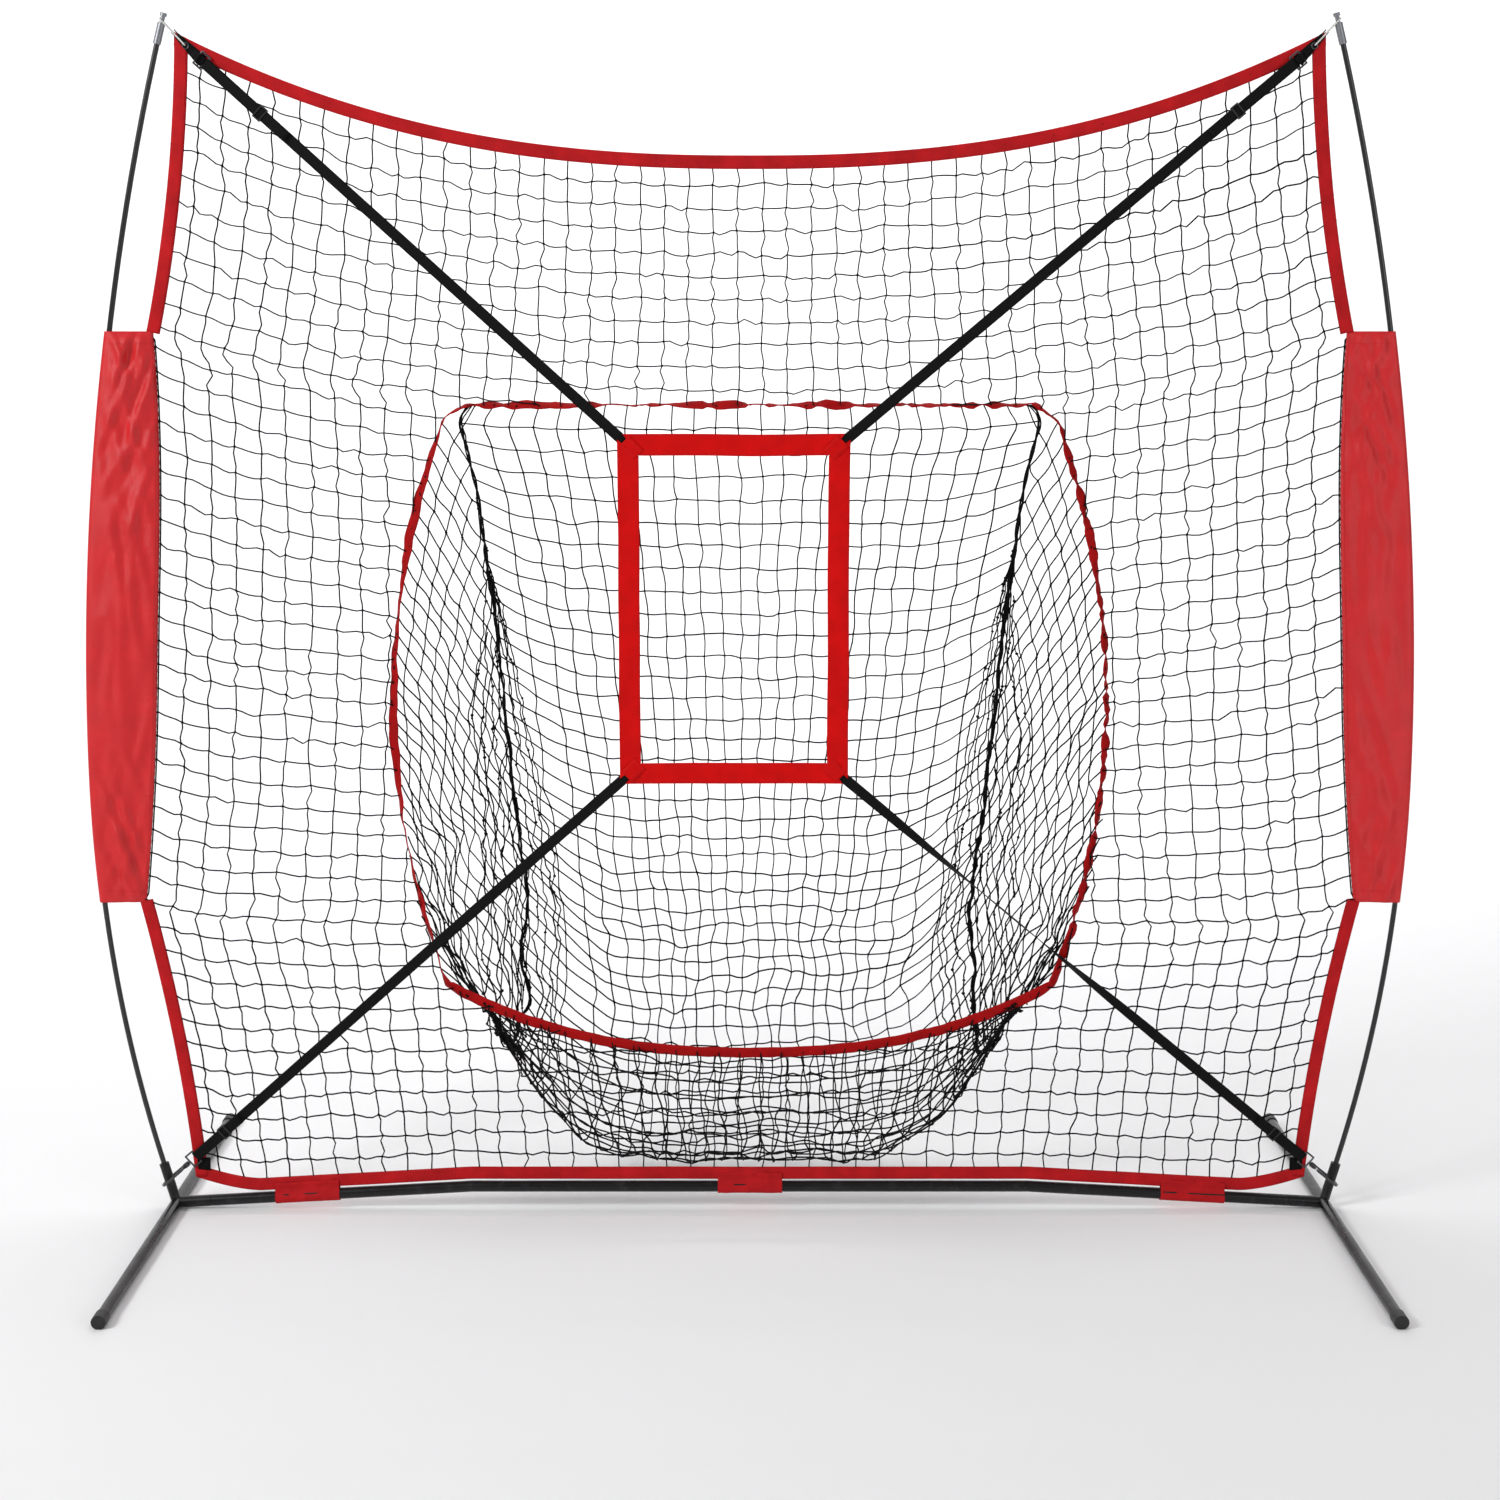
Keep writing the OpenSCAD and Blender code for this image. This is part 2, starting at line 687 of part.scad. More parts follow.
module ball_pocket() {
    nu = pocket_u + 1;
    count = nu * (pocket_v + 1);
    inner = [for (j = [0:pocket_v], i = [0:pocket_u]) pocket_point(across_at(i), j / pocket_v)];
    outer = [for (j = [0:pocket_v], i = [0:pocket_u])
        let (u = across_at(i), v = j / pocket_v, rim = i == 0 || i == pocket_u || j == 0 || j == pocket_v,
            n = pocket_normal(u, v), out = rim ? [n[0], 0, n[2]] / norm([n[0], 0.001, n[2]]) : n)
        pocket_point(u, v) - out * net_t];
    faces = concat(
        [for (j = [0:pocket_v - 1], i = [0:pocket_u - 1]) let (a = j * nu + i) each
            [[a, a + 1, a + nu + 1], [a, a + nu + 1, a + nu]]],
        [for (j = [0:pocket_v - 1], i = [0:pocket_u - 1]) let (a = count + j * nu + i) each
            [[a, a + nu + 1, a + 1], [a, a + nu, a + nu + 1]]],
        [for (k = [0:2 * (pocket_u + pocket_v) - 1])
            let (a = rim_index(k, nu), b = rim_index(k + 1, nu)) each
            [[a, a + count, b + count], [a, b + count, b]]]);
    color("#101012") polyhedron(points = concat(inner, outer), faces = faces, convexity = 6);
}
function rim_index(k, nu) =
    let (n = k % (2 * (pocket_u + pocket_v)))
    n < pocket_u ? n
    : n < pocket_u + pocket_v ? pocket_u + (n - pocket_u) * nu
    : n < 2 * pocket_u + pocket_v ? pocket_v * nu + (2 * pocket_u + pocket_v - n)
    : (2 * (pocket_u + pocket_v) - n) * nu;

// ---- Target and straps ----

target_left = target_x - target_w / 2;
target_right = target_x + target_w / 2;
target_high_z = target_low_z + target_h;
band_y = strap_front_y - band_t / 2;

module band(x, z, w, h) {
    color("#d5141b") flat_sheet(band_t, band_y) translate([x, z]) square([w, h]);
}
module target_top_band() {
    band(target_left, target_high_z - band_w, target_w, band_w);
}
module target_bottom_band() {
    band(target_left, target_low_z, target_w, band_w);
}
module target_left_band() {
    band(target_left, target_low_z + band_w, band_w, target_h - 2 * band_w);
}
module target_right_band() {
    band(target_right - band_w, target_low_z + band_w, band_w, target_h - 2 * band_w);
}

// Where each strap's ring bar is, and where the strap ends under the target's corner.
// The hook's axis leans forward from the socket to the straps' layer.
hook_at = [pole_x(hook_z), hook_z];
strap_bar_from_hook = hook_ring_at + ring_length;
hook_yaw = asin((net_y - ring_y) / strap_bar_from_hook);

function corner_of_target(x_side, z_side) = [
    x_side > 0 ? target_right - band_overlap : target_left + band_overlap,
    z_side > 0 ? target_high_z - band_overlap : target_low_z + band_overlap];
function strap_start(x_side, z_side) = z_side > 0
    ? [x_side * keeper_at[0], keeper_at[1]]
    : [x_side * hook_at[0], hook_at[1]];
function strap_turn(x_side, z_side) =
    let (way = corner_of_target(x_side, z_side) - strap_start(x_side, z_side)) atan2(way[1], way[0]);
function ring_offset(z_side) = z_side > 0 ? ring_length : strap_bar_from_hook * cos(hook_yaw);
function strap_length(x_side, z_side) =
    norm(corner_of_target(x_side, z_side) - strap_start(x_side, z_side)) - ring_offset(z_side);

// The frame of a strap: X runs from its ring bar to the target, Z across the webbing
module on_strap(x_side, z_side) {
    start = strap_start(x_side, z_side);
    translate([start[0], ring_y, start[1]]) rotate([0, -strap_turn(x_side, z_side), 0])
        translate([ring_offset(z_side), 0, 0]) children();
}

module strap(x_side, z_side) {
    tail = z_side > 0 ? upper_tail : lower_tail;
    color("#131314") on_strap(x_side, z_side) translate([0, 0, -strap_w / 2]) linear_extrude(strap_w) {
        translate([0, loop_r]) square([strap_length(x_side, z_side), strap_t]);
        translate([0, -loop_r - strap_t]) square([tail, strap_t]);
        difference() {
            circle(loop_r + strap_t, $fn = round_fn);
            circle(loop_r, $fn = round_fn);
            translate([0, -4 * loop_r]) square(8 * loop_r);
        }
    }
}

// A three-bar slide that grips both layers of a strap
module slide(x_side, z_side) {
    at = z_side > 0 ? upper_slide_at : lower_slide_at;
    inner = strap_w / 2 + gap;
    reach = loop_r + strap_t + gap;
    color("#1c1c1e") on_strap(x_side, z_side) translate([at, 0, 0]) {
        for (s = [-1, 1]) {
            translate([-slide_half, -reach - slide_wall, s > 0 ? inner : -inner - slide_bar])
                cube([2 * slide_half, 2 * (reach + slide_wall), slide_bar]);
            for (end = [-slide_half, slide_half - slide_bar])
                translate([end, s > 0 ? reach : -reach - slide_wall, -inner - slide_bar / 2])
                    cube([slide_bar, slide_wall, 2 * inner + slide_bar]);
        }
        cylinder(h = 2 * inner + slide_bar, r = ring_r - 0.1, center = true, $fn = round_fn);
    }
}

// A rectangular wire ring: the strap's bar is at 0, the other bar at -ring_length
module wire_ring() {
    for (x = [0, -ring_length]) translate([x, 0, 0])
        cylinder(h = 2 * ring_half_w, r = ring_r, center = true, $fn = round_fn);
    for (s = [-1, 1]) translate([0, 0, s * ring_half_w]) {
        along_x(ring_r, -ring_length, 0);
        sphere(ring_r, $fn = round_fn);
        translate([-ring_length, 0, 0]) sphere(ring_r, $fn = round_fn);
    }
}
module strap_rings() {
    color("#9a9da2") for (x_side = [-1, 1]) on_strap(x_side, 1) wire_ring();
}

// Webbing patches on the net's corners. The upper ones hold the straps' rings.
module corner_patches() {
    keeper_w = 16;
    keeper_x = 4.5;
    color("#131314") {
        translate([0, front_y - patch_t / 2 - net_y, 0]) flat_sheet(patch_t) both_sides() difference() {
            intersection() {
                translate(keeper_at - [14, 14]) square(90);
                net_outline();
            }
            corner_eyelets();
        }
        for (x_side = [-1, 1]) on_strap(x_side, 1) translate([-ring_length, 0, 0]) difference() {
            translate([-keeper_x, -keeper_x + 1, -keeper_w / 2])
                cube([2 * keeper_x, keeper_x - 1 + front_y - patch_t - ring_y, keeper_w]);
            cylinder(h = 3 * keeper_w, r = ring_r + slip, center = true, $fn = round_fn);
        }
        translate([0, front_y - patch_t / 2 - net_y, 0]) flat_sheet(patch_t) both_sides() intersection() {
            translate([bottom_half - 42, bottom_corner_z - 30]) square(80);
            net_outline();
        }
    }
}

// ---- Snap hooks ----

// The frame of a hook: the socket's axis passes through its origin, X runs towards the target
module on_hook(x_side) {
    start = strap_start(x_side, -1);
    translate([start[0], net_y, start[1]]) rotate([0, -strap_turn(x_side, -1), 0])
        rotate([0, 0, -hook_yaw]) children();
}

module snap_eye(side) {
    color("#8a8d92") on_hook(side == "left" ? -1 : 1) {
        translate([strap_bar_from_hook, 0, 0]) wire_ring();
        along_x(stem_r, hook_length + hook_in_r - 1.5, hook_ring_at);
        along_x(stem_r + 1.5, hook_length + hook_in_r - 3.5, hook_length + hook_in_r - 1);
    }
}

module long_loop(r) {
    circle(r, $fn = 64);
    translate([hook_length, 0]) circle(r, $fn = 64);
    translate([0, -r]) square([hook_length, 2 * r]);
}

module snap_hook(side) {
    color("#8a8d92") on_hook(side == "left" ? -1 : 1) {
        difference() {
            union() {
                translate([0, 0, -hook_t / 2]) linear_extrude(hook_t) long_loop(hook_out_r);
                along_x(barrel_r, hook_length + hook_in_r, hook_length + hook_out_r + 6);
            }
            translate([0, 0, -hook_t]) linear_extrude(2 * hook_t) long_loop(hook_in_r);
            translate([gate_nose_x, -2 * hook_out_r, -hook_t])
                cube([fork_x - gate_nose_x, 2 * hook_out_r - hook_in_r + 2, 2 * hook_t]);
            translate([fork_x - 1, -2 * hook_out_r, -fork_slot / 2])
                cube([hook_pin_at[0] + 2.6 - fork_x + 1, 2 * hook_out_r - hook_in_r + 2, fork_slot]);
            along_x(stem_r + 0.06, hook_length, hook_length + hook_out_r + 7);
        }
        translate(hook_pin_at) cylinder(h = hook_t, r = hook_pin_r, center = true, $fn = 32);
    }
}

module snap_gate(side) {
    arm = 3.6;
    color("#75787d") on_hook(side == "left" ? -1 : 1) difference() {
        union() {
            translate([gate_nose_x + gap, hook_pin_at[1] - arm / 2, -gate_t / 2])
                cube([hook_pin_at[0] - gate_nose_x - gap, arm, gate_t]);
            translate([gate_nose_x + gap, hook_pin_at[1] - arm / 2, -hook_t / 2])
                cube([fork_x - gate_nose_x - gap - 1.2, arm, hook_t]);
            translate(hook_pin_at) cylinder(h = gate_t, r = 2, center = true, $fn = 32);
        }
        translate(hook_pin_at) cylinder(h = 2 * hook_t, r = hook_pin_r + 0.05, center = true, $fn = 32);
    }
}

// ---- The parts ----

foot_tube("left");  // left_foot_tube
foot_tube("right");  // right_foot_tube
foot_caps();
pole_socket("left");  // left_pole_socket
pole_socket("right");  // right_pole_socket
bar_stub("left");  // left_bar_stub
bar_stub("right");  // right_bar_stub
side_bar("left");  // left_side_bar
side_bar("right");  // right_side_bar
center_bar();
stub_button("left");  // left_stub_button
stub_button("right");  // right_stub_button
bar_button("left");  // left_bar_button
bar_button("right");  // right_bar_button
button_springs();
lower_pole("left");  // left_lower_pole
lower_pole("right");  // right_lower_pole
middle_pole("left");  // left_middle_pole
middle_pole("right");  // right_middle_pole
upper_pole("left");  // left_upper_pole
upper_pole("right");  // right_upper_pole
pole_ferrules();
pole_base_tips();
pole_cap("left");  // left_pole_cap
pole_cap("right");  // right_pole_cap
shock_cords();
corner_elastics();
front_netting();
ball_pocket();
top_binding();
bottom_binding();
upper_binding("left");  // left_upper_binding
upper_binding("right");  // right_upper_binding
lower_binding("left");  // left_lower_binding
lower_binding("right");  // right_lower_binding
pocket_trim();
pole_sleeve("left");  // left_pole_sleeve
pole_sleeve("right");  // right_pole_sleeve
bar_tabs();
corner_patches();
target_top_band();
target_bottom_band();
target_left_band();
target_right_band();
strap(-1, 1);  // upper_left_strap
strap(1, 1);  // upper_right_strap
strap(-1, -1);  // lower_left_strap
strap(1, -1);  // lower_right_strap
slide(-1, 1);  // upper_left_slide
slide(1, 1);  // upper_right_slide
slide(-1, -1);  // lower_left_slide
slide(1, -1);  // lower_right_slide
strap_rings();
snap_eye("left");  // left_snap_eye
snap_eye("right");  // right_snap_eye
snap_hook("left");  // left_snap_hook
snap_hook("right");  // right_snap_hook
snap_gate("left");  // left_snap_gate
snap_gate("right");  // right_snap_gate
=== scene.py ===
"""The looks of the pitching target net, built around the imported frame.

Metres, +Z up, X across, -Y towards the pitcher. The frame's hard pieces keep their shape and get a finish.
Everything soft is built here: netting, bindings, sleeves, trim, target, straps and elastics.
"""
import json
import math

import bpy
import numpy as np
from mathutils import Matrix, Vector, noise


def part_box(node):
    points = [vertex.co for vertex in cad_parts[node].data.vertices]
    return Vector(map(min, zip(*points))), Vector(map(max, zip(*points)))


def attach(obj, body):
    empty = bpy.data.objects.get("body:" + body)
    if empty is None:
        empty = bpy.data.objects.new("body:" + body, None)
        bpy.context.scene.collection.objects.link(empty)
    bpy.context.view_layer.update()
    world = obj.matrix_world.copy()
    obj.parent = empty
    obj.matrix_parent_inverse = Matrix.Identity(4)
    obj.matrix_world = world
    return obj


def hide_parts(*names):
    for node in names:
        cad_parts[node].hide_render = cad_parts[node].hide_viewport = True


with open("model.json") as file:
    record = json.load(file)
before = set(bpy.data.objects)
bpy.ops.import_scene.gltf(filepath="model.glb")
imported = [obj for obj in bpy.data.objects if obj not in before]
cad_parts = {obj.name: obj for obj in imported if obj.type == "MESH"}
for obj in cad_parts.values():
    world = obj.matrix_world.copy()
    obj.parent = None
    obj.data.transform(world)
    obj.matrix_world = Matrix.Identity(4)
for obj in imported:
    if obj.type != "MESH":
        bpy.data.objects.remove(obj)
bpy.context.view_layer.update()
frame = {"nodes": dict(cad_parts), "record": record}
NODES = frame["nodes"]
SIDES = {"left": -1, "right": 1}

# ---- Sizes, the same as the frame's apart from the looks' own below ----

NET_Y = (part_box("front_netting")[0].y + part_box("front_netting")[1].y) / 2
BASE_X = max(mount["pos_m"][0] for mount in frame["record"]["mounts"])
FOOT_Z = 0.0124
LEAN = math.radians(15.15)
WIDE_X = 1.239
WIDE_Z = 0.850
LOWER_R = 2.9
UPPER_R = 5.2
TIP_Z = 2.225
BAR_HIGH_Z = 0.045
BAR_BEND_X = 0.540
BAR_R = 0.011
TOP_HALF = 1.031
TOP_CORNER_Z = 2.212
TOP_SAG = 0.215
BOTTOM_HALF = 1.077
BOTTOM_ABOVE_BAR = 0.015
BOTTOM_RISE = 0.035
RISE_FROM = 0.950
EDGE_POWER = 2.4
BINDING_W = 0.024
SLEEVE_LOW_Z = 0.613
SLEEVE_HIGH_Z = 1.684
SLEEVE_END_W = 0.080
SLEEVE_MID_W = 0.125
MOUTH_TOP_Z = 1.550
MOUTH_CORNER_Z = 0.449
MOUTH_SAG = 0.135
MOUTH_TOP_HALF = 0.556
MOUTH_LOW_HALF = 0.580
MOUTH_BOW = 0.102
MOUTH_ROUND = 0.035
POCKET_Y = NET_Y + 0.002
WALL_FOOT = (POCKET_Y + 0.330, 0.340)
WALL_SHARE = 0.6
POCKET_POWER = 8
TRIM_W = 0.018
TARGET_X = -0.030
TARGET_W = 0.430
TARGET_H = 0.655
TARGET_LOW_Z = 0.843
BAND_W = 0.040
BAND_Y = (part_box("target_top_band")[0].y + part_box("target_top_band")[1].y) / 2
STRAP_W = 0.020
STRAP_T = 0.0015
LOOP_R = 0.00205
RING_Y = 0.03245
RING_LENGTH = 0.018
KEEPER_AT = (TOP_HALF - 0.042, TOP_CORNER_Z - 0.044)
CORNER_HOLE = (TOP_HALF - 0.020, TOP_CORNER_Z - 0.024)
HOOK_Z = 0.058
RING_FROM_HOOK = 0.076
MESH = 0.0445

# ---- Sizes of the looks ----

TWINE_R = 0.0017
NET_CELLS = 47
STRAND_STEPS = 4
KNOT_GROWTH = (0.35, 0.9)
KNOT_JITTER = 0.0018
LOWEST_NET_Z = 0.020
LOWEST_TWINE_Z = 0.016
BACK_ROWS, BACK_COLUMNS = 50, 25
GUSSET_ROWS = 34
SHORTEST_CELL = 0.008
SEAM_STEPS = 160
SEAM_CORD_R = 0.0022
SEAM_LAY = 0.05
BUNCHED_COLUMNS = 9
WALL_NARROWING = 0.150
POUCH_HALVES = (0.440, 0.470)
POUCH_Y = (WALL_FOOT[0] + 0.075, POCKET_Y + 0.105)
POUCH_Z = (WALL_FOOT[1] - 0.275, -0.165)
TAPE_GAP = 0.0019
SIDE_TAPE_GAP = 0.0027
TAPE_T = 0.0006
SLEEVE_WRAP = 0.0088
SLEEVE_GAP = 0.0016
SLEEVE_T = 0.0005
TRIM_T = 0.0010
TAB_HALF = 0.0625
TAB_GAP = 0.0032
TAB_X = 0.860
TAB_T = 0.0008
BAND_HALF_T = 0.0011
BAND_CUT = 0.010
FOLD_W = 0.022
STRAP_OVER_BAND = 0.026
UPPER_TAIL = 0.190
LOWER_TAIL = 0.117
TWIST_FROM_TARGET = 0.44
TWIST_SPREAD = 0.25
PATCH_T = 0.0012
PATCH_Y = NET_Y - 0.0027 - 0.0011
PATCH_SWELL = 0.0006
KEEPER_HALF = 0.008
KEEPER_WRAP = 0.0027
EYELET_R = 0.0052
CORD_END_R = 0.0014
ELASTIC_R = 0.0015
ELASTIC_TURN_R = 0.0065
NECK_ABOVE_TIP = 0.0065
STITCH_PITCH = 0.005
STITCH_SHARE = 0.62

# ---- Curves, with arrays in and out ----


def pole_x(z):
    upper = WIDE_X - UPPER_R + np.sqrt(UPPER_R**2 - np.maximum(z - WIDE_Z, 0) ** 2)
    lower = WIDE_X - LOWER_R + np.sqrt(LOWER_R**2 - np.maximum(WIDE_Z - z, 0) ** 2)
    return np.minimum(upper, lower)


def bar_z(x):
    fall = (BAR_HIGH_Z - FOOT_Z) / (BASE_X - BAR_BEND_X)
    return BAR_HIGH_Z - np.maximum(np.abs(x) - BAR_BEND_X, 0) * fall


def sleeve_seam(z):
    middle = (SLEEVE_LOW_Z + SLEEVE_HIGH_Z) / 2
    half = (SLEEVE_HIGH_Z - SLEEVE_LOW_Z) / 2
    width = SLEEVE_END_W + (SLEEVE_MID_W - SLEEVE_END_W) * (1 - np.abs((z - middle) / half) ** 2.5)
    return pole_x(z) - width


def top_z(x):
    return TOP_CORNER_Z - TOP_SAG * (1 - np.abs(x / TOP_HALF) ** EDGE_POWER)


def bottom_z(x):
    rise = np.maximum(0, np.abs(x) - RISE_FROM) / (BOTTOM_HALF - RISE_FROM)
    return bar_z(x) + BOTTOM_ABOVE_BAR + BOTTOM_RISE * rise**1.5


BOTTOM_CORNER_Z = float(bottom_z(BOTTOM_HALF))


def bowed(start, end, bow, steps=16):
    start, end = np.array(start, float), np.array(end, float)
    s = np.linspace(0, 1, steps + 1)[:, None]
    way = end - start
    across = np.array([-way[1], way[0]]) / np.linalg.norm(way)
    return start + way * s + across * bow * 4 * s * (1 - s)


UPPER_EDGE = bowed((TOP_HALF, TOP_CORNER_Z), (sleeve_seam(SLEEVE_HIGH_Z) + 0.012, SLEEVE_HIGH_Z), -0.013)
LOWER_EDGE = bowed((sleeve_seam(SLEEVE_LOW_Z) + 0.012, SLEEVE_LOW_Z), (BOTTOM_HALF, BOTTOM_CORNER_Z), -0.010)
SEAM_Z = np.linspace(SLEEVE_HIGH_Z - 0.01, SLEEVE_LOW_Z + 0.01, 40)
SIDE_EDGE = np.vstack([UPPER_EDGE, np.stack([sleeve_seam(SEAM_Z), SEAM_Z], 1), LOWER_EDGE])


def side_x(z):
    return np.interp(z, SIDE_EDGE[::-1, 1], SIDE_EDGE[::-1, 0])


def mouth_half(z):
    s = (z - MOUTH_CORNER_Z) / (MOUTH_TOP_Z - MOUTH_CORNER_Z)
    rounding = np.maximum(0, z - MOUTH_TOP_Z + MOUTH_ROUND) / MOUTH_ROUND
    return (MOUTH_LOW_HALF + (MOUTH_TOP_HALF - MOUTH_LOW_HALF) * s + MOUTH_BOW * 4 * s * (1 - s)
            - MOUTH_ROUND * rounding**2)


def mouth_low_z(u):
    return MOUTH_CORNER_Z - MOUTH_SAG * (1 - np.abs(u) ** EDGE_POWER)


def in_mouth(x, z):
    beside = np.abs(x) < mouth_half(np.clip(z, MOUTH_CORNER_Z, MOUTH_TOP_Z))
    above = z > mouth_low_z(np.clip(x / MOUTH_LOW_HALF, -1, 1))
    return beside & above & (z < MOUTH_TOP_Z)


def bezier(a, b, c, d, t):
    return a * (1 - t) ** 3 + b * 3 * t * (1 - t) ** 2 + c * 3 * t * t * (1 - t) + d * t**3


def pocket_point(u, v):
    """The pocket's surface: u across from -1 to 1, v from the mouth's top down the back to its bottom.
    Below its back wall it is wider than the frame's, as in the photo."""
    u, v = np.broadcast_arrays(np.asarray(u, float), np.asarray(v, float))
    side_z = MOUTH_TOP_Z + (MOUTH_CORNER_Z - MOUTH_TOP_Z) * v
    away = np.minimum(1, (1 - v) / 0.2)
    fill = 1 - np.abs(u) ** (EDGE_POWER + (POCKET_POWER - EDGE_POWER) * away)
    bulge = 1 - np.abs(u) ** POCKET_POWER
    down = v / WALL_SHARE
    under = np.maximum(0, (v - WALL_SHARE) / (1 - WALL_SHARE))
    wall = v < WALL_SHARE
    y = np.where(wall, POCKET_Y + (WALL_FOOT[0] - POCKET_Y) * down,
                 bezier(WALL_FOOT[0], *POUCH_Y, POCKET_Y, under))
    z = np.where(wall, MOUTH_TOP_Z + (WALL_FOOT[1] - MOUTH_TOP_Z) * down,
                 bezier(WALL_FOOT[1], *POUCH_Z, MOUTH_CORNER_Z - MOUTH_SAG, under))
    half = np.where(wall, MOUTH_TOP_HALF - WALL_NARROWING * down,
                    bezier(MOUTH_TOP_HALF - WALL_NARROWING, *POUCH_HALVES, MOUTH_LOW_HALF, under))
    half = np.where(v <= 0, mouth_half(side_z), half)
    x = u * (mouth_half(side_z) * (1 - bulge) + half * bulge)
    return np.stack([x, POCKET_Y + (y - POCKET_Y) * bulge, side_z * (1 - fill) + z * fill], -1)


def lengths(path):
    """How far along a path each of its points is."""
    return np.concatenate([[0], np.cumsum(np.linalg.norm(np.diff(path, axis=0), axis=1))])


def girth(a, b):
    """How far along a section each of its points is."""
    return np.concatenate([[0], np.cumsum(np.hypot(np.diff(a), np.diff(b)))])


def along_path(stops, at, path):
    """The points of a path at some distances along it, where at has its own points' distances."""
    return np.stack([np.interp(stops, at, path[:, k]) for k in range(path.shape[1])], 1)


def resampled(path, count):
    """The same path with evenly spaced points."""
    at = lengths(path)
    return along_path(np.linspace(0, at[-1], count), at, path)


def stacked(*parts):
    """One array of points from their coordinates, which may have different shapes."""
    return np.stack(np.broadcast_arrays(*parts), -1)


def turns(start, end, count):
    """Angles inside an arc, in half turns, without its two ends."""
    return np.linspace(start * math.pi, end * math.pi, count)[1:-1]


# ---- Smooth noise ----

# Without a seed of its own, noise_vector takes one from the clock.
noise.seed_set(5)


def wander(points, scale, seed):
    """Smooth noise of three parts at each point, each between about -1 and 1."""
    shift = Vector((seed * 3.7, seed * 1.3, seed * 2.1))
    flat = np.asarray(points, float).reshape(-1, 3)
    found = [noise.noise_vector(Vector(p) * scale + shift) for p in flat]
    return np.array(found).reshape(np.asarray(points).shape) * 1.4


def ripple(u, v, seed):
    """Smooth noise of one part on a grid of two coordinates."""
    u, v = np.broadcast_arrays(u, v)
    found = [noise.noise(Vector((a, b, seed * 7.3))) for a, b in zip(u.ravel(), v.ravel())]
    return np.array(found).reshape(u.shape) * 1.4


# ---- Shaders ----


def fresh_material(name, color, roughness, metallic=0.0, **sockets):
    made = bpy.data.materials.new(name)
    made.use_nodes = True
    shader = made.node_tree.nodes["Principled BSDF"]
    shader.inputs["Base Color"].default_value = (*color, 1)
    shader.inputs["Roughness"].default_value = roughness
    shader.inputs["Metallic"].default_value = metallic
    for socket, value in sockets.items():
        shader.inputs[socket.replace("_", " ")].default_value = value
    return made, made.node_tree, shader


def node(tree, kind, inputs=(), **settings):
    """A shader node. inputs pairs a socket's name or number with a constant or with another node's output."""
    made = tree.nodes.new("ShaderNode" + kind)
    for setting, value in settings.items():
        setattr(made, setting, value)
    for socket, value in dict(inputs).items():
        if isinstance(value, bpy.types.NodeSocket):
            tree.links.new(value, made.inputs[socket])
        else:
            made.inputs[socket].default_value = value
    return made


def place(tree, kind, scale=(1, 1, 1)):
    """Texture coordinates, Object or UV, in metres times scale."""
    coordinates = node(tree, "TexCoord").outputs[kind]
    return node(tree, "Mapping", {"Vector": coordinates, "Scale": scale}).outputs[0]


def speckle(tree, where, scale, detail=3.0):
    return node(tree, "TexNoise", {"Vector": where, "Scale": scale, "Detail": detail}).outputs["Fac"]


def ribs(tree, where, direction, period):
    """A sine wave between 0 and 1 along X or Y, with a period in metres."""
    return node(tree, "TexWave", {"Vector": where, "Scale": math.pi / 10 / period, "Distortion": 0.0},
                bands_direction=direction).outputs["Fac"]


def spread(tree, value, low, high, to_low, to_high):
    return node(tree, "MapRange", {"Value": value, "From Min": low, "From Max": high,
                                   "To Min": to_low, "To Max": to_high}).outputs[0]


def math_of(tree, operation, a, b):
    return node(tree, "Math", {0: a, 1: b}, operation=operation).outputs[0]


def tint(tree, shader, share, dark, light):
    """Colours the shader between two colours."""
    mixed = node(tree, "Mix", {0: share, 6: (*dark, 1), 7: (*light, 1)}, data_type="RGBA")
    tree.links.new(mixed.outputs[2], shader.inputs["Base Color"])


def emboss(tree, shader, height, depth, strength=1.0):
    bump = node(tree, "Bump", {"Height": height, "Distance": depth, "Strength": strength})
    tree.links.new(bump.outputs[0], shader.inputs["Normal"])


def coated_metal(name, color, roughness, worn=0.55):
    """Powder coat: fine orange peel, and scuffs that show a greyer coat."""
    made, tree, shader = fresh_material(name, color, roughness, Specular_IOR_Level=0.32)
    where = place(tree, "Object")
    scuffs = spread(tree, speckle(tree, where, 38, 6), worn, worn + 0.2, 0, 1)
    tint(tree, shader, scuffs, color, tuple(c * 2.2 + 0.008 for c in color))
    gloss = spread(tree, speckle(tree, where, 14), 0.3, 0.7, roughness - 0.06, roughness + 0.1)
    tree.links.new(gloss, shader.inputs["Roughness"])
    emboss(tree, shader, speckle(tree, where, 700, 2), 0.0002, 0.35)
    return made


def bare_metal(name, color, roughness, stretch=(600, 600, 40)):
    """Drawn or brushed metal, with its grain along Z."""
    made, tree, shader = fresh_material(name, color, roughness, metallic=0.9)
    grain = speckle(tree, place(tree, "Object", stretch), 1.0, 4)
    tint(tree, shader, grain, tuple(c * 0.75 for c in color), tuple(min(1, c * 1.15) for c in color))
    gloss = spread(tree, grain, 0.3, 0.7, roughness - 0.08, roughness + 0.12)
    tree.links.new(gloss, shader.inputs["Roughness"])
    emboss(tree, shader, grain, 0.0001, 0.5)
    return made


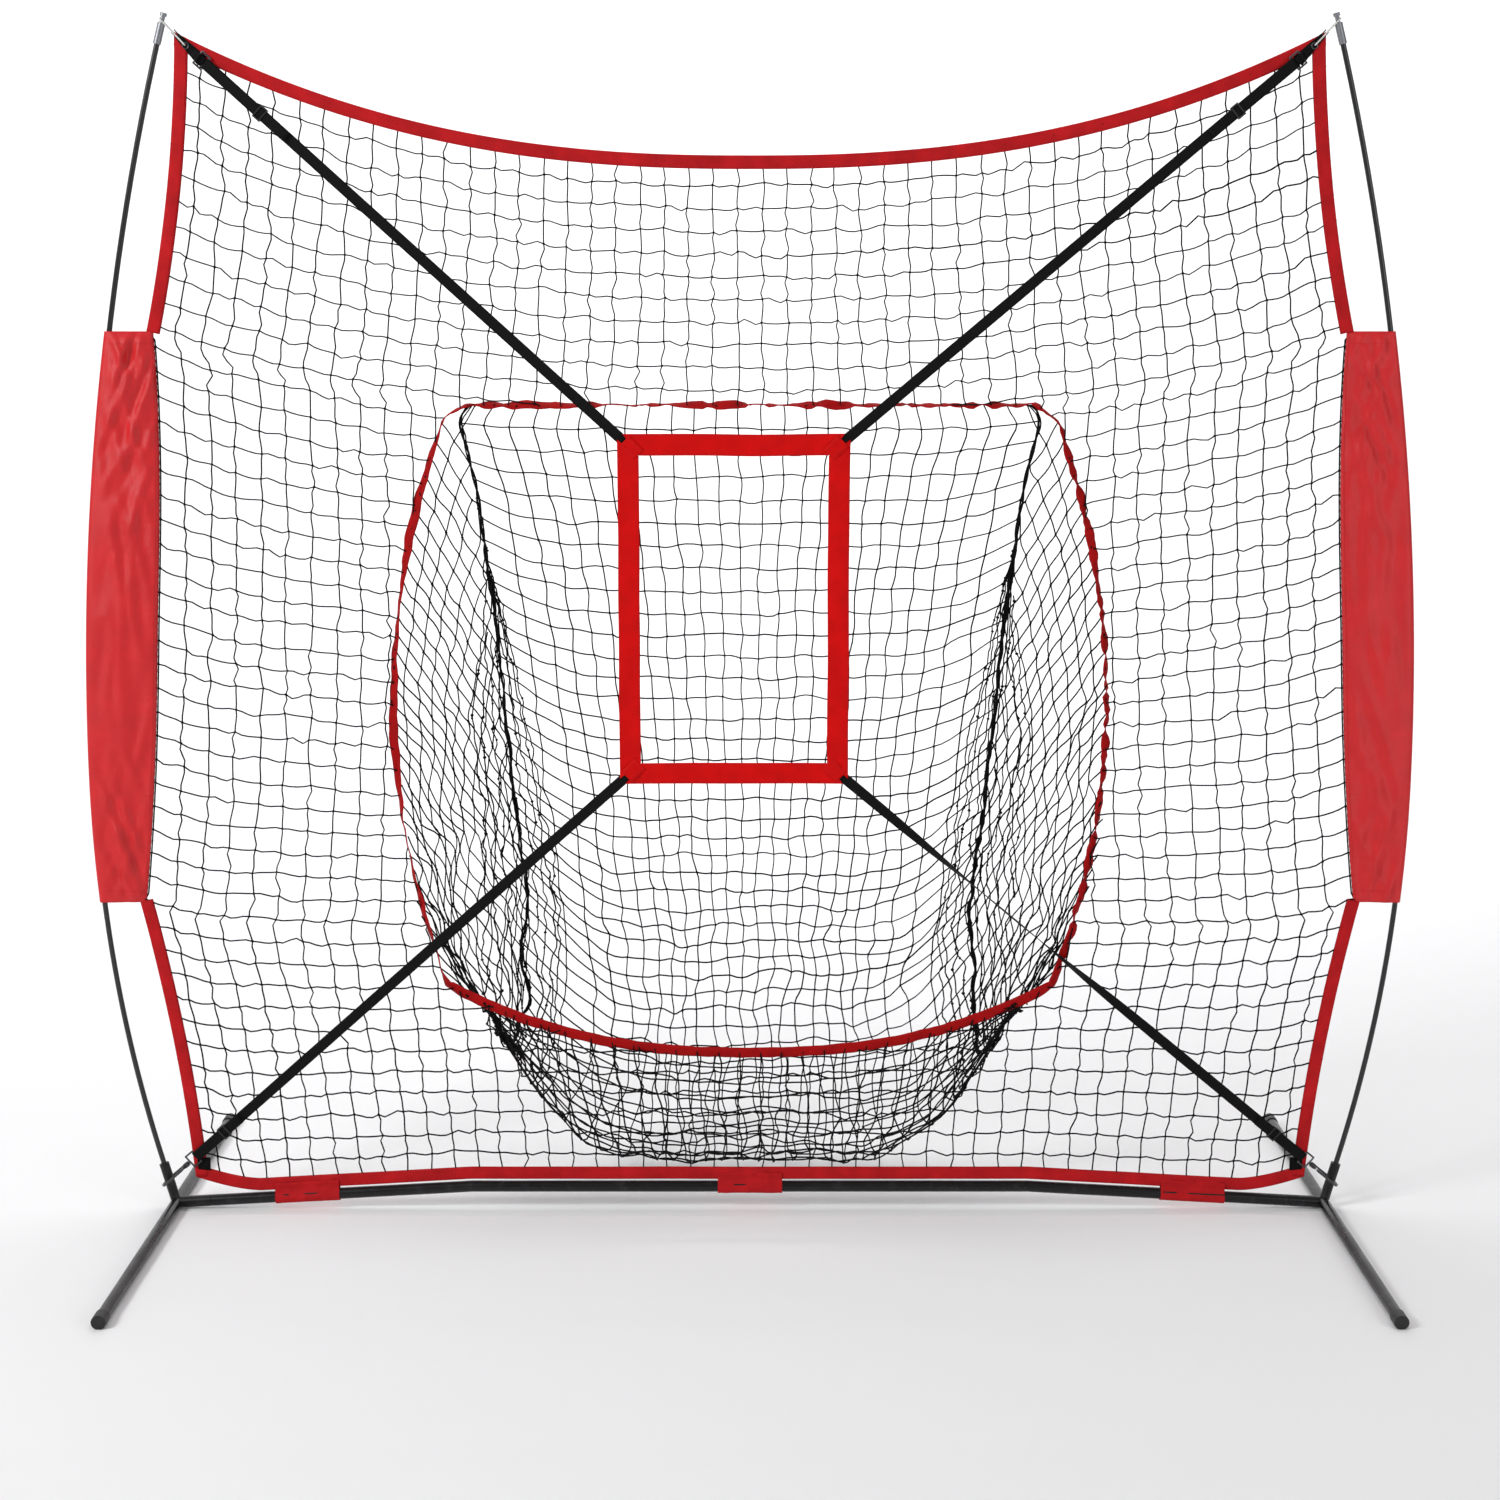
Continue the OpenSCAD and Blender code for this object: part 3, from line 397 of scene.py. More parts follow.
def moulded(name, color, roughness):
    """Moulded plastic with a fine sand grain."""
    made, tree, shader = fresh_material(name, color, roughness)
    where = place(tree, "Object")
    tint(tree, shader, speckle(tree, where, 25), tuple(c * 0.8 for c in color), tuple(c * 1.6 for c in color))
    emboss(tree, shader, speckle(tree, where, 1500, 2), 0.00015, 0.5)
    return made


def fibreglass():
    """Pultruded rod: lengthwise fibres under a thin gloss."""
    made, tree, shader = fresh_material("fibreglass_rod", (0.006, 0.006, 0.007), 0.3, Coat_Weight=0.15,
                                        Coat_Roughness=0.2)
    fibres = speckle(tree, place(tree, "Object", (900, 900, 12)), 1.0, 5)
    tint(tree, shader, fibres, (0.004, 0.004, 0.005), (0.014, 0.014, 0.016))
    emboss(tree, shader, fibres, 0.0002, 0.4)
    return made


def woven(name, color, roughness, period, gloss=0.1, sheen=0.05, shade=0.55, satin=False):
    """Woven cloth from its own UV map in metres: a weave, uneven dye and a faint sheen."""
    made, tree, shader = fresh_material(name, color, roughness, Specular_IOR_Level=gloss, Sheen_Weight=sheen)
    shader.inputs["Sheen Tint"].default_value = (*color, 1)
    where = place(tree, "UV")
    if satin:
        weave = ribs(tree, place(tree, "UV", (1, 0.35, 1)), "DIAGONAL", period)
    else:
        weave = math_of(tree, "MULTIPLY", ribs(tree, where, "X", period), ribs(tree, where, "Y", period))
    dye = speckle(tree, where, 22, 5)
    fine = speckle(tree, place(tree, "UV", (1, 5, 1)), 350, 2)
    share = math_of(tree, "ADD", math_of(tree, "MULTIPLY", dye, 0.6), math_of(tree, "MULTIPLY", fine, 0.4))
    tint(tree, shader, spread(tree, share, 0.3, 0.68, 0, 1), tuple(c * shade for c in color), color)
    height = math_of(tree, "ADD", weave, math_of(tree, "MULTIPLY", fine, 0.6))
    emboss(tree, shader, height, 0.00022, 0.6)
    return made


def ribbed_webbing():
    """Black polypropylene webbing: ribs across it."""
    made, tree, shader = fresh_material("strap_webbing", (0.004, 0.004, 0.004), 0.6, Specular_IOR_Level=0.12)
    where = place(tree, "UV")
    weave = math_of(tree, "MULTIPLY", ribs(tree, where, "X", 0.0016), ribs(tree, where, "Y", 0.0011))
    tint(tree, shader, weave, (0.002, 0.002, 0.002), (0.009, 0.009, 0.0095))
    height = math_of(tree, "ADD", weave, math_of(tree, "MULTIPLY", speckle(tree, where, 900, 2), 0.4))
    emboss(tree, shader, height, 0.0004, 0.8)
    return made


def twisted(name, color, light, roughness, period, depth):
    """Twine, thread or braid: strands that wind round it. U runs along, V once round."""
    made, tree, shader = fresh_material(name, color, roughness, Specular_IOR_Level=0.1)
    turns = place(tree, "UV", (1, period, 1))
    lay = ribs(tree, turns, "DIAGONAL", period)
    fuzz = speckle(tree, place(tree, "UV", (1, 0.004, 1)), 1500, 3)
    tint(tree, shader, math_of(tree, "MULTIPLY", lay, fuzz), color, light)
    emboss(tree, shader, lay, depth, 0.8)
    return made


MATERIALS = {
    "frame_tube": coated_metal("tube_powder_coat", (0.006, 0.006, 0.007), 0.28),
    "foot_plastic": moulded("cap_plastic", (0.007, 0.007, 0.0075), 0.5),
    "socket_metal": coated_metal("socket_powder_coat", (0.006, 0.006, 0.006), 0.36, 0.5),
    "spring_steel": bare_metal("button_steel", (0.55, 0.56, 0.58), 0.3),
    "fibreglass": fibreglass(),
    "ferrule_metal": bare_metal("ferrule_aluminium", (0.6, 0.61, 0.63), 0.35),
    "tip_metal": bare_metal("tip_aluminium", (0.27, 0.28, 0.30), 0.42, (300, 300, 500)),
    "elastic_cord": twisted("elastic_braid", (0.6, 0.59, 0.56), (0.88, 0.87, 0.84), 0.6, 0.0022, 0.0003),
    "netting": twisted("net_twine", (0.0015, 0.0015, 0.0018), (0.008, 0.008, 0.009), 0.7, 0.0030, 0.0004),
    "binding_cloth": woven("binding_tape", (0.60, 0.012, 0.016), 0.62, 0.0009),
    "trim_cloth": woven("trim_tape", (0.46, 0.003, 0.004), 0.6, 0.0009),
    "sleeve_satin": woven("sleeve_satin_cloth", (0.68, 0.020, 0.024), 0.38, 0.0007, 0.3, 0.12, 0.8, True),
    "target_cloth": woven("target_tape", (0.74, 0.002, 0.002), 0.6, 0.0010, shade=0.7),
    "webbing": ribbed_webbing(),
    "slide_plastic": moulded("slide_nylon", (0.008, 0.008, 0.009), 0.4),
    "hook_metal": bare_metal("black_nickel", (0.09, 0.09, 0.095), 0.32),
}
RED_THREAD = twisted("red_thread", (0.42, 0.012, 0.015), (0.7, 0.04, 0.045), 0.6, 0.0012, 0.0002)
BLACK_THREAD = twisted("black_thread", (0.003, 0.003, 0.003), (0.014, 0.014, 0.015), 0.6, 0.0012, 0.0002)


# ---- Meshes ----


def linked(name, data):
    made = bpy.data.objects.new(name, data)
    bpy.context.scene.collection.objects.link(made)
    return made


def make_piece(name, verts, faces, uvs, slot, body="root", replaces=()):
    """A smooth mesh piece that rides on a body. uvs has one pair for each corner of each face."""
    mesh = bpy.data.meshes.new(name)
    mesh.from_pydata(np.asarray(verts, float).tolist(), [], np.asarray(faces).tolist())
    layer = mesh.uv_layers.new(name="UVMap")
    layer.data.foreach_set("uv", np.asarray(uvs, np.float32).ravel())
    mesh.polygons.foreach_set("use_smooth", [True] * len(mesh.polygons))
    mesh.materials.append(MATERIALS[slot])
    piece = linked(name, mesh)
    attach(piece, body)
    if replaces:
        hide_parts(*replaces)
    return piece


class Builder:
    """Collects tubes, sheets and blobs into one mesh of quads."""

    def __init__(self):
        self.verts = []
        self.faces = []
        self.uvs = []
        self.count = 0
        self.seams = None

    def add(self, verts, faces, uvs):
        self.verts.append(verts)
        self.faces.append(np.asarray(faces) + self.count)
        self.uvs.append(np.asarray(uvs, float).reshape(-1, 2))
        self.count += len(verts)

    def grid(self, points, u, v, close_u=False, close_v=False):
        """A surface over points[i, j]. u has one value for each i, and v one for each i and j."""
        n, m = points.shape[:2]
        v = np.broadcast_to(v, (n, m))
        i, j = index_pairs(n if close_u else n - 1, m if close_v else m - 1)
        i2, j2 = (i + 1) % n, (j + 1) % m
        faces = np.stack([i * m + j, i2 * m + j, i2 * m + j2, i * m + j2], 1)
        step_u = u[1] - u[0]
        u_next = np.where(i2 > i, u[i2], u[i] + step_u)
        v_next = np.where(j2 > j, v[i, j2], v[i, j] + np.abs(v[i, 1] - v[i, 0]))
        uvs = np.stack([u[i], v[i, j], u_next, v[i2, j], u_next, v_next, u[i], v_next], 1)
        start = self.count
        self.add(points.reshape(-1, 3), faces, uvs)
        return start

    def tube(self, path, radius, sides=4, closed=False):
        """A round tube along a path. Four-sided tubes with open ends get flat caps."""
        path = np.asarray(path, float)
        ring = frames_along(path, sides, closed)
        radius = np.broadcast_to(radius, len(path))
        points = path[:, None, :] + ring * radius[:, None, None]
        length = lengths(path)
        around = np.arange(sides) / sides
        start = self.count
        n = len(path)
        i, j = index_pairs(n if closed else n - 1, sides)
        i2, j2 = (i + 1) % n, (j + 1) % sides
        faces = np.stack([i * sides + j, i * sides + j2, i2 * sides + j2, i2 * sides + j], 1)
        u0, u1 = length[i], np.where(i2 > i, length[i2], length[i] + length[1])
        v0, v1 = around[j], around[j] + 1 / sides
        self.add(points.reshape(-1, 3), faces, np.stack([u0, v0, u0, v1, u1, v1, u1, v0], 1))
        if not closed and sides == 4:
            caps = np.array([[3, 2, 1, 0], [0, 1, 2, 3]])
            caps[1] += (n - 1) * sides
            self.add(np.zeros((0, 3)), caps + start - self.count, np.zeros((2, 8)))

    def blobs(self, centres, radii):
        """A small rounded knot at each centre, with radii of three parts."""
        base = np.array([[1, 0, 0], [-1, 0, 0], [0, 1, 0], [0, -1, 0], [0, 0, 1], [0, 0, -1]], float)
        ring = np.array([[a, b, c] for a in (-1, 1) for b in (-1, 1) for c in (-1, 1)], float) / math.sqrt(3)
        shape = np.vstack([base, ring])
        quads = []
        for axis in range(3):
            for sign in (-1, 1):
                near = [6 + k for k in range(8) if ring[k, axis] * sign > 0]
                others = [a for a in range(3) if a != axis]
                tips = [base_index(a, s) for a in others for s in (-1, 1)]
                pole = base_index(axis, sign)
                for tip in tips:
                    pair = [k for k in near if np.dot(shape[k], shape[tip]) > 0]
                    face = [pole, pair[0], tip, pair[1]]
                    a, b, c = shape[face[0]], shape[face[1]], shape[face[2]]
                    if np.dot(np.cross(b - a, c - a), a + b + c) < 0:
                        face = face[::-1]
                    if sorted(face) not in [sorted(q) for q in quads]:
                        quads.append(face)
        quads = np.array(quads)
        centres = np.asarray(centres, float)
        verts = centres[:, None, :] + shape[None] * radii[:, None, :]
        faces = quads[None] + (np.arange(len(centres)) * len(shape))[:, None, None]
        corners = np.tile([0, 0, 0.002, 0, 0.002, 0.4, 0, 0.4], (len(centres) * len(quads), 1))
        self.add(verts.reshape(-1, 3), faces.reshape(-1, 4), corners)

    def piece(self, name, slot, body="root", replaces=(), thread=None, solid=0.0):
        """The finished object, thickened if solid is given, with its seams' stitches as a child of it."""
        made = make_piece(name, np.vstack(self.verts), np.vstack(self.faces), np.vstack(self.uvs), slot, body,
                          replaces)
        if solid:
            thicken = made.modifiers.new("thickness", "SOLIDIFY")
            thicken.thickness = solid
            thicken.offset = 0
            thicken.use_even_offset = False
        if self.seams:
            sewing = self.seams.piece(name + "_stitches", slot, body)
            sewing.parent = made
            sewing.data.materials[0] = thread
        return made


def index_pairs(rows, columns):
    i, j = np.meshgrid(np.arange(rows), np.arange(columns), indexing="ij")
    return i.ravel(), j.ravel()


def base_index(axis, sign):
    return 2 * axis + (0 if sign > 0 else 1)


def frames_along(path, sides, closed=False):
    """Unit vectors round each point of a path, carried along it without twisting."""
    if closed:
        tangents = np.roll(path, -1, 0) - np.roll(path, 1, 0)
    else:
        tangents = np.gradient(path, axis=0)
    tangents /= np.linalg.norm(tangents, axis=1)[:, None] + 1e-12
    side = np.cross(tangents[0], [0, 1, 0] if abs(tangents[0][1]) < 0.9 else [1, 0, 0])
    turns = np.arange(sides) * 2 * math.pi / sides + math.pi / sides
    out = np.empty((len(path), sides, 3))
    for i, tangent in enumerate(tangents):
        side = side - tangent * side.dot(tangent)
        side = side / (np.linalg.norm(side) + 1e-12)
        up = np.cross(tangent, side)
        out[i] = np.cos(turns)[:, None] * side + np.sin(turns)[:, None] * up
    return out


def across_path(path):
    """Unit vectors to the left of a flat path in X and Z."""
    way = np.gradient(path, axis=0)
    way /= np.linalg.norm(way, axis=1)[:, None]
    return np.stack([-way[:, 1], way[:, 0]], 1)


def stitches(build, path, normal, pitch=STITCH_PITCH, radius=0.00045, off=0.0003):
    """A row of raised stitches along a path, lifted along a normal. off is half the cloth's thickness."""
    if not build.seams:
        build.seams = Builder()
    path = np.asarray(path, float)
    at = lengths(path)
    count = int(at[-1] / pitch)
    lift = (np.array([-0.3, 0.9, -0.3]) * radius + off)[:, None] * np.asarray(normal, float)
    for k in range(count):
        spots = at[-1] * (k + 0.5) / count + np.array([-0.5, 0, 0.5]) * pitch * STITCH_SHARE
        build.seams.tube(along_path(spots, at, path) + lift, radius)


# ---- Netting ----


def net_point(s, t):
    """The front net in X and Z between its four edges, s across and t down, each from 0 to 1."""
    top = stacked(TOP_HALF * (2 * s - 1), top_z(TOP_HALF * (2 * s - 1)))
    bottom = stacked(BOTTOM_HALF * (2 * s - 1), bottom_z(BOTTOM_HALF * (2 * s - 1)))
    z = TOP_CORNER_Z + (BOTTOM_CORNER_Z - TOP_CORNER_Z) * t
    right = stacked(side_x(z), z)
    left = right * [-1, 1]
    high = np.array([TOP_HALF, TOP_CORNER_Z])
    low = np.array([BOTTOM_HALF, BOTTOM_CORNER_Z])
    s, t = s[..., None], t[..., None]
    corners = ((1 - s) * (1 - t) * high * [-1, 1] + s * (1 - t) * high
               + (1 - s) * t * low * [-1, 1] + s * t * low)
    return (1 - t) * top + t * bottom + (1 - s) * left + s * right - corners


def runs(keep):
    """First and last index of each run of true values."""
    edges = np.flatnonzero(np.diff(np.concatenate([[0], keep.astype(int), [0]])))
    return list(zip(edges[::2], edges[1::2] - 1))


def crossing(inside, outside, test):
    """The point between two points where test changes."""
    a, b = np.array(inside, float), np.array(outside, float)
    for _ in range(12):
        middle = (a + b) / 2
        if test(middle):
            b = middle
        else:
            a = middle
    return a


def strand_offsets(cells, per_cell, sag, wave, rng):
    """Sideways offsets along one strand: a sag and an S-shape between each pair of knots."""
    f = np.tile(np.arange(per_cell) / per_cell, cells)
    sags = np.repeat(rng.normal(sag, abs(sag) * 0.5 + 0.0006, cells), per_cell)
    waves = np.repeat(rng.normal(0, wave, cells), per_cell)
    return np.append(sags * 4 * f * (1 - f) + waves * np.sin(2 * math.pi * f), 0)


def knots_at(build, centres, rng):
    build.blobs(centres, TWINE_R * (1 + rng.uniform(*KNOT_GROWTH, centres.shape)))


def front_net():
    rng = np.random.default_rng(11)
    cells, per_cell = NET_CELLS, STRAND_STEPS
    inset, inset_side = 0.006, 0.001
    even = np.arange(cells + 1) / cells
    fine_even = np.arange(cells * per_cell + 1) / (cells * per_cell)
    down, fine_down = inset + (1 - 2 * inset) * even, inset + (1 - 2 * inset) * fine_even
    aside = inset_side + (1 - 2 * inset_side) * even
    fine_aside = inset_side + (1 - 2 * inset_side) * fine_even
    jitter = rng.normal(0, 1, (cells + 1, cells + 1, 3)) * [0.0022, 0.0005, 0.0022]
    jitter[[0, -1]] = 0
    jitter[:, [0, -1]] = 0
    share = np.arange(cells * per_cell + 1) / per_cell
    build = Builder()

    def spread_jitter(values):
        f = share - np.floor(share)
        low = np.minimum(np.floor(share).astype(int), cells)
        high = np.minimum(low + 1, cells)
        f = (f * f * (3 - 2 * f))[:, None]
        return values[low] * (1 - f) + values[high] * f

    def test(p):
        return bool(in_mouth(np.array(p[0]), np.array(p[2])))

    def depth(x, z):
        inside = np.minimum(side_x(z) - np.abs(x), np.minimum(top_z(x) - z, z - bottom_z(x)))
        loose = np.clip((inside - BINDING_W) / 0.15, 0, 1)
        return NET_Y + 0.003 * loose * (1 + np.sin(x * 4.1 + 1.3) * np.sin(z * 3.3))

    def lay(flat, moves, offsets, across):
        points = stacked(flat[:, 0], depth(flat[:, 0], flat[:, 1]), flat[:, 1])
        points = points + spread_jitter(moves)
        points[:, [0, 2]] += offsets[:, None] * across
        outside = ~in_mouth(points[:, 0], points[:, 2])
        for first, last in runs(outside):
            piece = points[first:last + 1]
            if first > 0:
                piece = np.vstack([crossing(points[first], points[first - 1], test), piece])
            if last < len(points) - 1:
                piece = np.vstack([piece, crossing(points[last], points[last + 1], test)])
            build.tube(piece, TWINE_R)

    for j in range(cells + 1):
        flat = net_point(fine_aside, np.full(len(fine_aside), down[j]))
        lay(flat, jitter[:, j], strand_offsets(cells, per_cell, 0.0018, 0.0018, rng), (0, -1))
    for i in range(cells + 1):
        flat = net_point(np.full(len(fine_down), aside[i]), fine_down)
        wave = 0.0016 if 0 < i < cells else 0.0
        lay(flat, jitter[i], strand_offsets(cells, per_cell, 0.0, wave, rng) * (wave > 0), (1, 0))
    s, t = np.meshgrid(aside, down, indexing="ij")
    flat = net_point(s, t)
    centres = stacked(flat[..., 0], depth(flat[..., 0], flat[..., 1]), flat[..., 1]) + jitter
    centres = centres.reshape(-1, 3)
    knots_at(build, centres[~in_mouth(centres[:, 0], centres[:, 2])], rng)
    return build.piece("front_net", "netting", replaces=["front_netting"])


def slack(points, v, seed):
    """Moves points of the pocket's netting as loose net hangs: more towards the pouch."""
    loose = np.interp(v, [0, 0.35, 0.62, 0.8, 0.93, 1], [0.002, 0.004, 0.012, 0.016, 0.010, 0.0])[..., None]
    moved = points + wander(points, 9.0, seed) * loose + wander(points, 30.0, seed + 1) * loose * 0.45
    moved[..., 2] = np.maximum(moved[..., 2], LOWEST_NET_Z)
    moved[..., 1] = np.maximum(moved[..., 1], points[..., 1].clip(max=POCKET_Y + 0.004))
    return moved


def smooth_strand(knots, per_cell, rng, wave):
    """A curve through knots, with a small random bow between each pair."""
    n = len(knots)
    if n < 2:
        return knots
    before = np.vstack([knots[:1] * 2 - knots[1:2], knots, knots[-1:] * 2 - knots[-2:-1]])
    out = []
    for k in range(n - 1):
        p0, p1, p2, p3 = before[k:k + 4]
        bow = rng.normal(0, wave, 3)
        for f in np.arange(per_cell) / per_cell:
            curve = 0.5 * (2 * p1 + (p2 - p0) * f + (2 * p0 - 5 * p1 + 4 * p2 - p3) * f * f
                           + (3 * p1 - p0 - 3 * p2 + p3) * f**3)
            out.append(curve + bow * 4 * f * (1 - f))
    out.append(knots[-1])
    return np.array(out)


def strand(build, knots, rng, wave):
    build.tube(smooth_strand(knots, 3, rng, wave), TWINE_R)


def seam_u(v):
    """Where the back panel is sewn to the gussets: it spans the whole mouth at the top."""
    return 0.88 + 0.10 * np.exp(-np.asarray(v, float) / 0.08)


def even_rows(u, count, bunch=0.0):
    """Values of v from 0 to 1, evenly spaced along the pocket at one u, or closer towards its bottom."""
    v = np.linspace(0, 1, 400)
    at = lengths(pocket_point(np.full(400, u), v))
    share = np.linspace(0, 1, count + 1)
    return np.interp(at[-1] * (share + bunch * np.sin(math.pi * share)), at, v)


def pocket_back():
    rng = np.random.default_rng(21)
    u = np.linspace(-1, 1, BACK_COLUMNS + 1)
    v = even_rows(0.0, BACK_ROWS, 0.05)
    surface = pocket_point(u[:, None] * seam_u(v)[None, :], v[None, :])
    grid = slack(surface, np.broadcast_to(v, (len(u), len(v))), 3)
    grid[:, 1:-1] += rng.normal(0, KNOT_JITTER, grid[:, 1:-1].shape)
    build = Builder()
    for i in range(len(u)):
        strand(build, grid[i], rng, 0.0012)
    for j in range(1, BACK_ROWS):
        strand(build, grid[:, j], rng, 0.0016)
    knots_at(build, grid[:, 1:-1].reshape(-1, 3), rng)
    return build.piece("pocket_back_net", "netting", replaces=["ball_pocket"])


def pocket_side(side):
    """The gusset between the mouth's side and the back panel's seam."""
    sign = SIDES[side]
    rng = np.random.default_rng(31 + sign)
    rows = GUSSET_ROWS
    at_mouth = np.linspace(0, 1, rows + 1)
    at_seam = at_mouth**0.75
    build = Builder()
    lines = []
    for j in range(rows + 1):
        f = np.linspace(0, 1, 60)
        v = at_mouth[j] + (at_seam[j] - at_mouth[j]) * f
        u = sign * (1 - (1 - seam_u(v)) * f)
        path = pocket_point(u, v)
        lines.append((path, lengths(path), v))
    most = int(max(at[-1] for _, at, _ in lines) / MESH) + 1
    knots = np.full((rows + 1, most + 2, 3), np.nan)
    for j, (path, at, v) in enumerate(lines):
        reach = int(at[-1] / MESH)
        stops = [k * MESH for k in range(reach + 1)]
        if at[-1] - stops[-1] > SHORTEST_CELL:
            stops.append(at[-1])
        else:
            stops[-1] = at[-1]
        points = slack(along_path(stops, at, path), np.interp(stops, at, v), 5 + sign)
        points[1:] += rng.normal(0, KNOT_JITTER, points[1:].shape)
        knots[j, :len(points)] = points
        if 0 < j < rows:
            strand(build, points, rng, 0.0016)
    centres = []
    for k in range(1, most + 2):
        good = ~np.isnan(knots[:, k, 0])
        for first, last in runs(good):
            if last > first:
                strand(build, knots[first:last + 1, k], rng, 0.0013)
        centres.append(knots[good, k])
    knots_at(build, np.vstack(centres), rng)
    seam_strands(build, sign, rng)
    return build.piece(f"{side}_pocket_gusset", "netting")


def seam_strands(build, sign, rng):
    """The cord that sews the gusset to the back panel, and the columns of slack twine bunched along it."""
    v = even_rows(0.88, SEAM_STEPS)
    base = slack(pocket_point(sign * seam_u(v), v), v, 3)
    for k, thick in enumerate((1.5, 1.1)):
        turn = lengths(base) / SEAM_LAY * math.pi + k * math.pi
        twist = stacked(np.cos(turn), np.sin(turn), 0.0) * SEAM_CORD_R
        build.tube(base + twist, TWINE_R * thick)
    gather = np.interp(v, [0, 0.15, 0.4, 0.9, 1], [0, 0, 1, 1, 0.4])
    for k, aside in enumerate(np.linspace(-0.055, 0.05, BUNCHED_COLUMNS)):
        first = int(rng.uniform(0.12, 0.34) * len(v))
        last = int(rng.uniform(0.86, 0.99) * len(v))
        part = slack(pocket_point(sign * (seam_u(v) + aside * gather), v), v, 3)[first:last]
        part = part + wander(part, 14.0, 40 + k * 3 + sign) * 0.007 * gather[first:last, None]
        part = part + wander(part, 48.0, 80 + k * 3 + sign) * 0.0035
        part[:, 2] = np.maximum(part[:, 2], LOWEST_TWINE_Z)
        build.tube(part, TWINE_R)
        knots = part[rng.choice(len(part), 14)]
        build.blobs(knots, TWINE_R * rng.uniform(1.5, 2.4, knots.shape))


# ---- Cloth ----


def tape(name, edge, inward, width, slot, replaces, seed, half_gap=TAPE_GAP):
    """A tape folded over the net's edge: front ply, fold and back ply, with rows of stitches.
    edge is the fold's line and inward the unit vectors into the net, both in X and Z."""
    along = lengths(edge)
    v_front = np.linspace(width, half_gap, 7)
    turn = turns(-0.5, 0.5, 6)
    v = np.concatenate([v_front, half_gap * (1 - np.cos(turn)), v_front[::-1]])
    y = np.concatenate([np.full(7, -half_gap), half_gap * np.sin(turn), np.full(7, half_gap)])
    ply_puff = np.sin(np.linspace(0, math.pi, 7))
    puff = np.concatenate([ply_puff, np.zeros(4), ply_puff])
    bumps = ripple(along[:, None] * 45, v[None, :] * 30, seed) * 0.0007
    sway = ripple(along * 7, along * 0, seed + 1) * 0.0007
    stand_off = puff[None, :] * 0.0005 + bumps * puff[None, :]
    depth = y[None, :] + np.sign(y)[None, :] * stand_off + sway[:, None]
    flat = edge[:, None, :] + inward[:, None, :] * v[None, :, None]
    x = np.sign(flat[..., 0]) * np.minimum(np.abs(flat[..., 0]), side_x(flat[..., 1]))
    z = np.clip(flat[..., 1], bottom_z(x), top_z(np.clip(x, -TOP_HALF, TOP_HALF)))
    points = stacked(x, NET_Y + depth, np.minimum(z, TOP_CORNER_Z))
    distance = girth(v, y)
    build = Builder()
    build.grid(points, along, distance[None, :])
    for column, way in ((1, -1), (len(v) - 2, 1)):
        stitches(build, points[:, column], (0, way, 0), pitch=0.006)
    piece = build.piece(name, slot, replaces=replaces, thread=RED_THREAD, solid=TAPE_T)


def bindings():
    x = np.linspace(-TOP_HALF, TOP_HALF, 261)
    top = resampled(stacked(x, top_z(x)), 261)
    tape("top_edge_tape", top, -across_path(top), BINDING_W, "binding_cloth", ["top_binding"], 1)
    x = np.linspace(-BOTTOM_HALF, BOTTOM_HALF, 261)
    bottom = resampled(stacked(x, bottom_z(x)), 261)
    tape("bottom_edge_tape", bottom, across_path(bottom), BINDING_W, "binding_cloth", ["bottom_binding"], 2)
    for side, sign in SIDES.items():
        for part, edge, seed in (("upper", UPPER_EDGE, 3), ("lower", LOWER_EDGE, 5)):
            path = resampled(edge, 81) * [sign, 1]
            inward = across_path(path) * -sign
            tape(f"{side}_{part}_edge_tape", path, inward, BINDING_W, "binding_cloth",
                 [f"{side}_{part}_binding"], seed + sign, half_gap=SIDE_TAPE_GAP)


def sleeve(side):
    """A satin tube from the net's seam round the pole, puffed and creased."""
    sign = SIDES[side]
    rows, layer = 240, 20
    z = np.linspace(SLEEVE_LOW_Z, SLEEVE_HIGH_Z, rows)
    t = (z - SLEEVE_LOW_Z) / (SLEEVE_HIGH_Z - SLEEVE_LOW_Z)
    a = np.linspace(0, 1, layer)
    turn = turns(-0.5, 0.5, 9)
    seam, pole = sleeve_seam(z), pole_x(z)
    end_fade = np.clip(np.minimum(t, 1 - t) / 0.012, 0.25, 1)
    front, back = (sleeve_layer(seam, pole, z, t, a, end_fade, sign * 2 + seed) for seed in (13, 23))
    x_front = seam[:, None] + (pole - seam)[:, None] * a[None, :]
    x_round = pole[:, None] + SLEEVE_WRAP * np.cos(turn)[None, :]
    y_round = SLEEVE_WRAP * np.sin(turn)[None, :] + np.zeros((rows, 1))
    x = np.concatenate([x_front, x_round, x_front[:, ::-1]], 1)
    y = np.concatenate([-front, y_round, back[:, ::-1]], 1)
    points = stacked(sign * x, NET_Y + y, z[:, None])
    distance = lengths(points[rows // 2])
    build = Builder()
    build.grid(points, z - z[0], distance[None, :])
    for column, way in ((1, -1), (layer + len(turn) + layer - 2, 1)):
        stitches(build, points[:, column], (0, way, 0))
    for row in (5, rows - 6):
        stitches(build, points[row, 1:layer - 1], (0, -1, 0))
        stitches(build, points[row, layer + len(turn) + 1:-1], (0, 1, 0))
    piece = build.piece(f"{side}_satin_sleeve", "sleeve_satin", replaces=[f"{side}_pole_sleeve"],
                        thread=RED_THREAD, solid=SLEEVE_T)


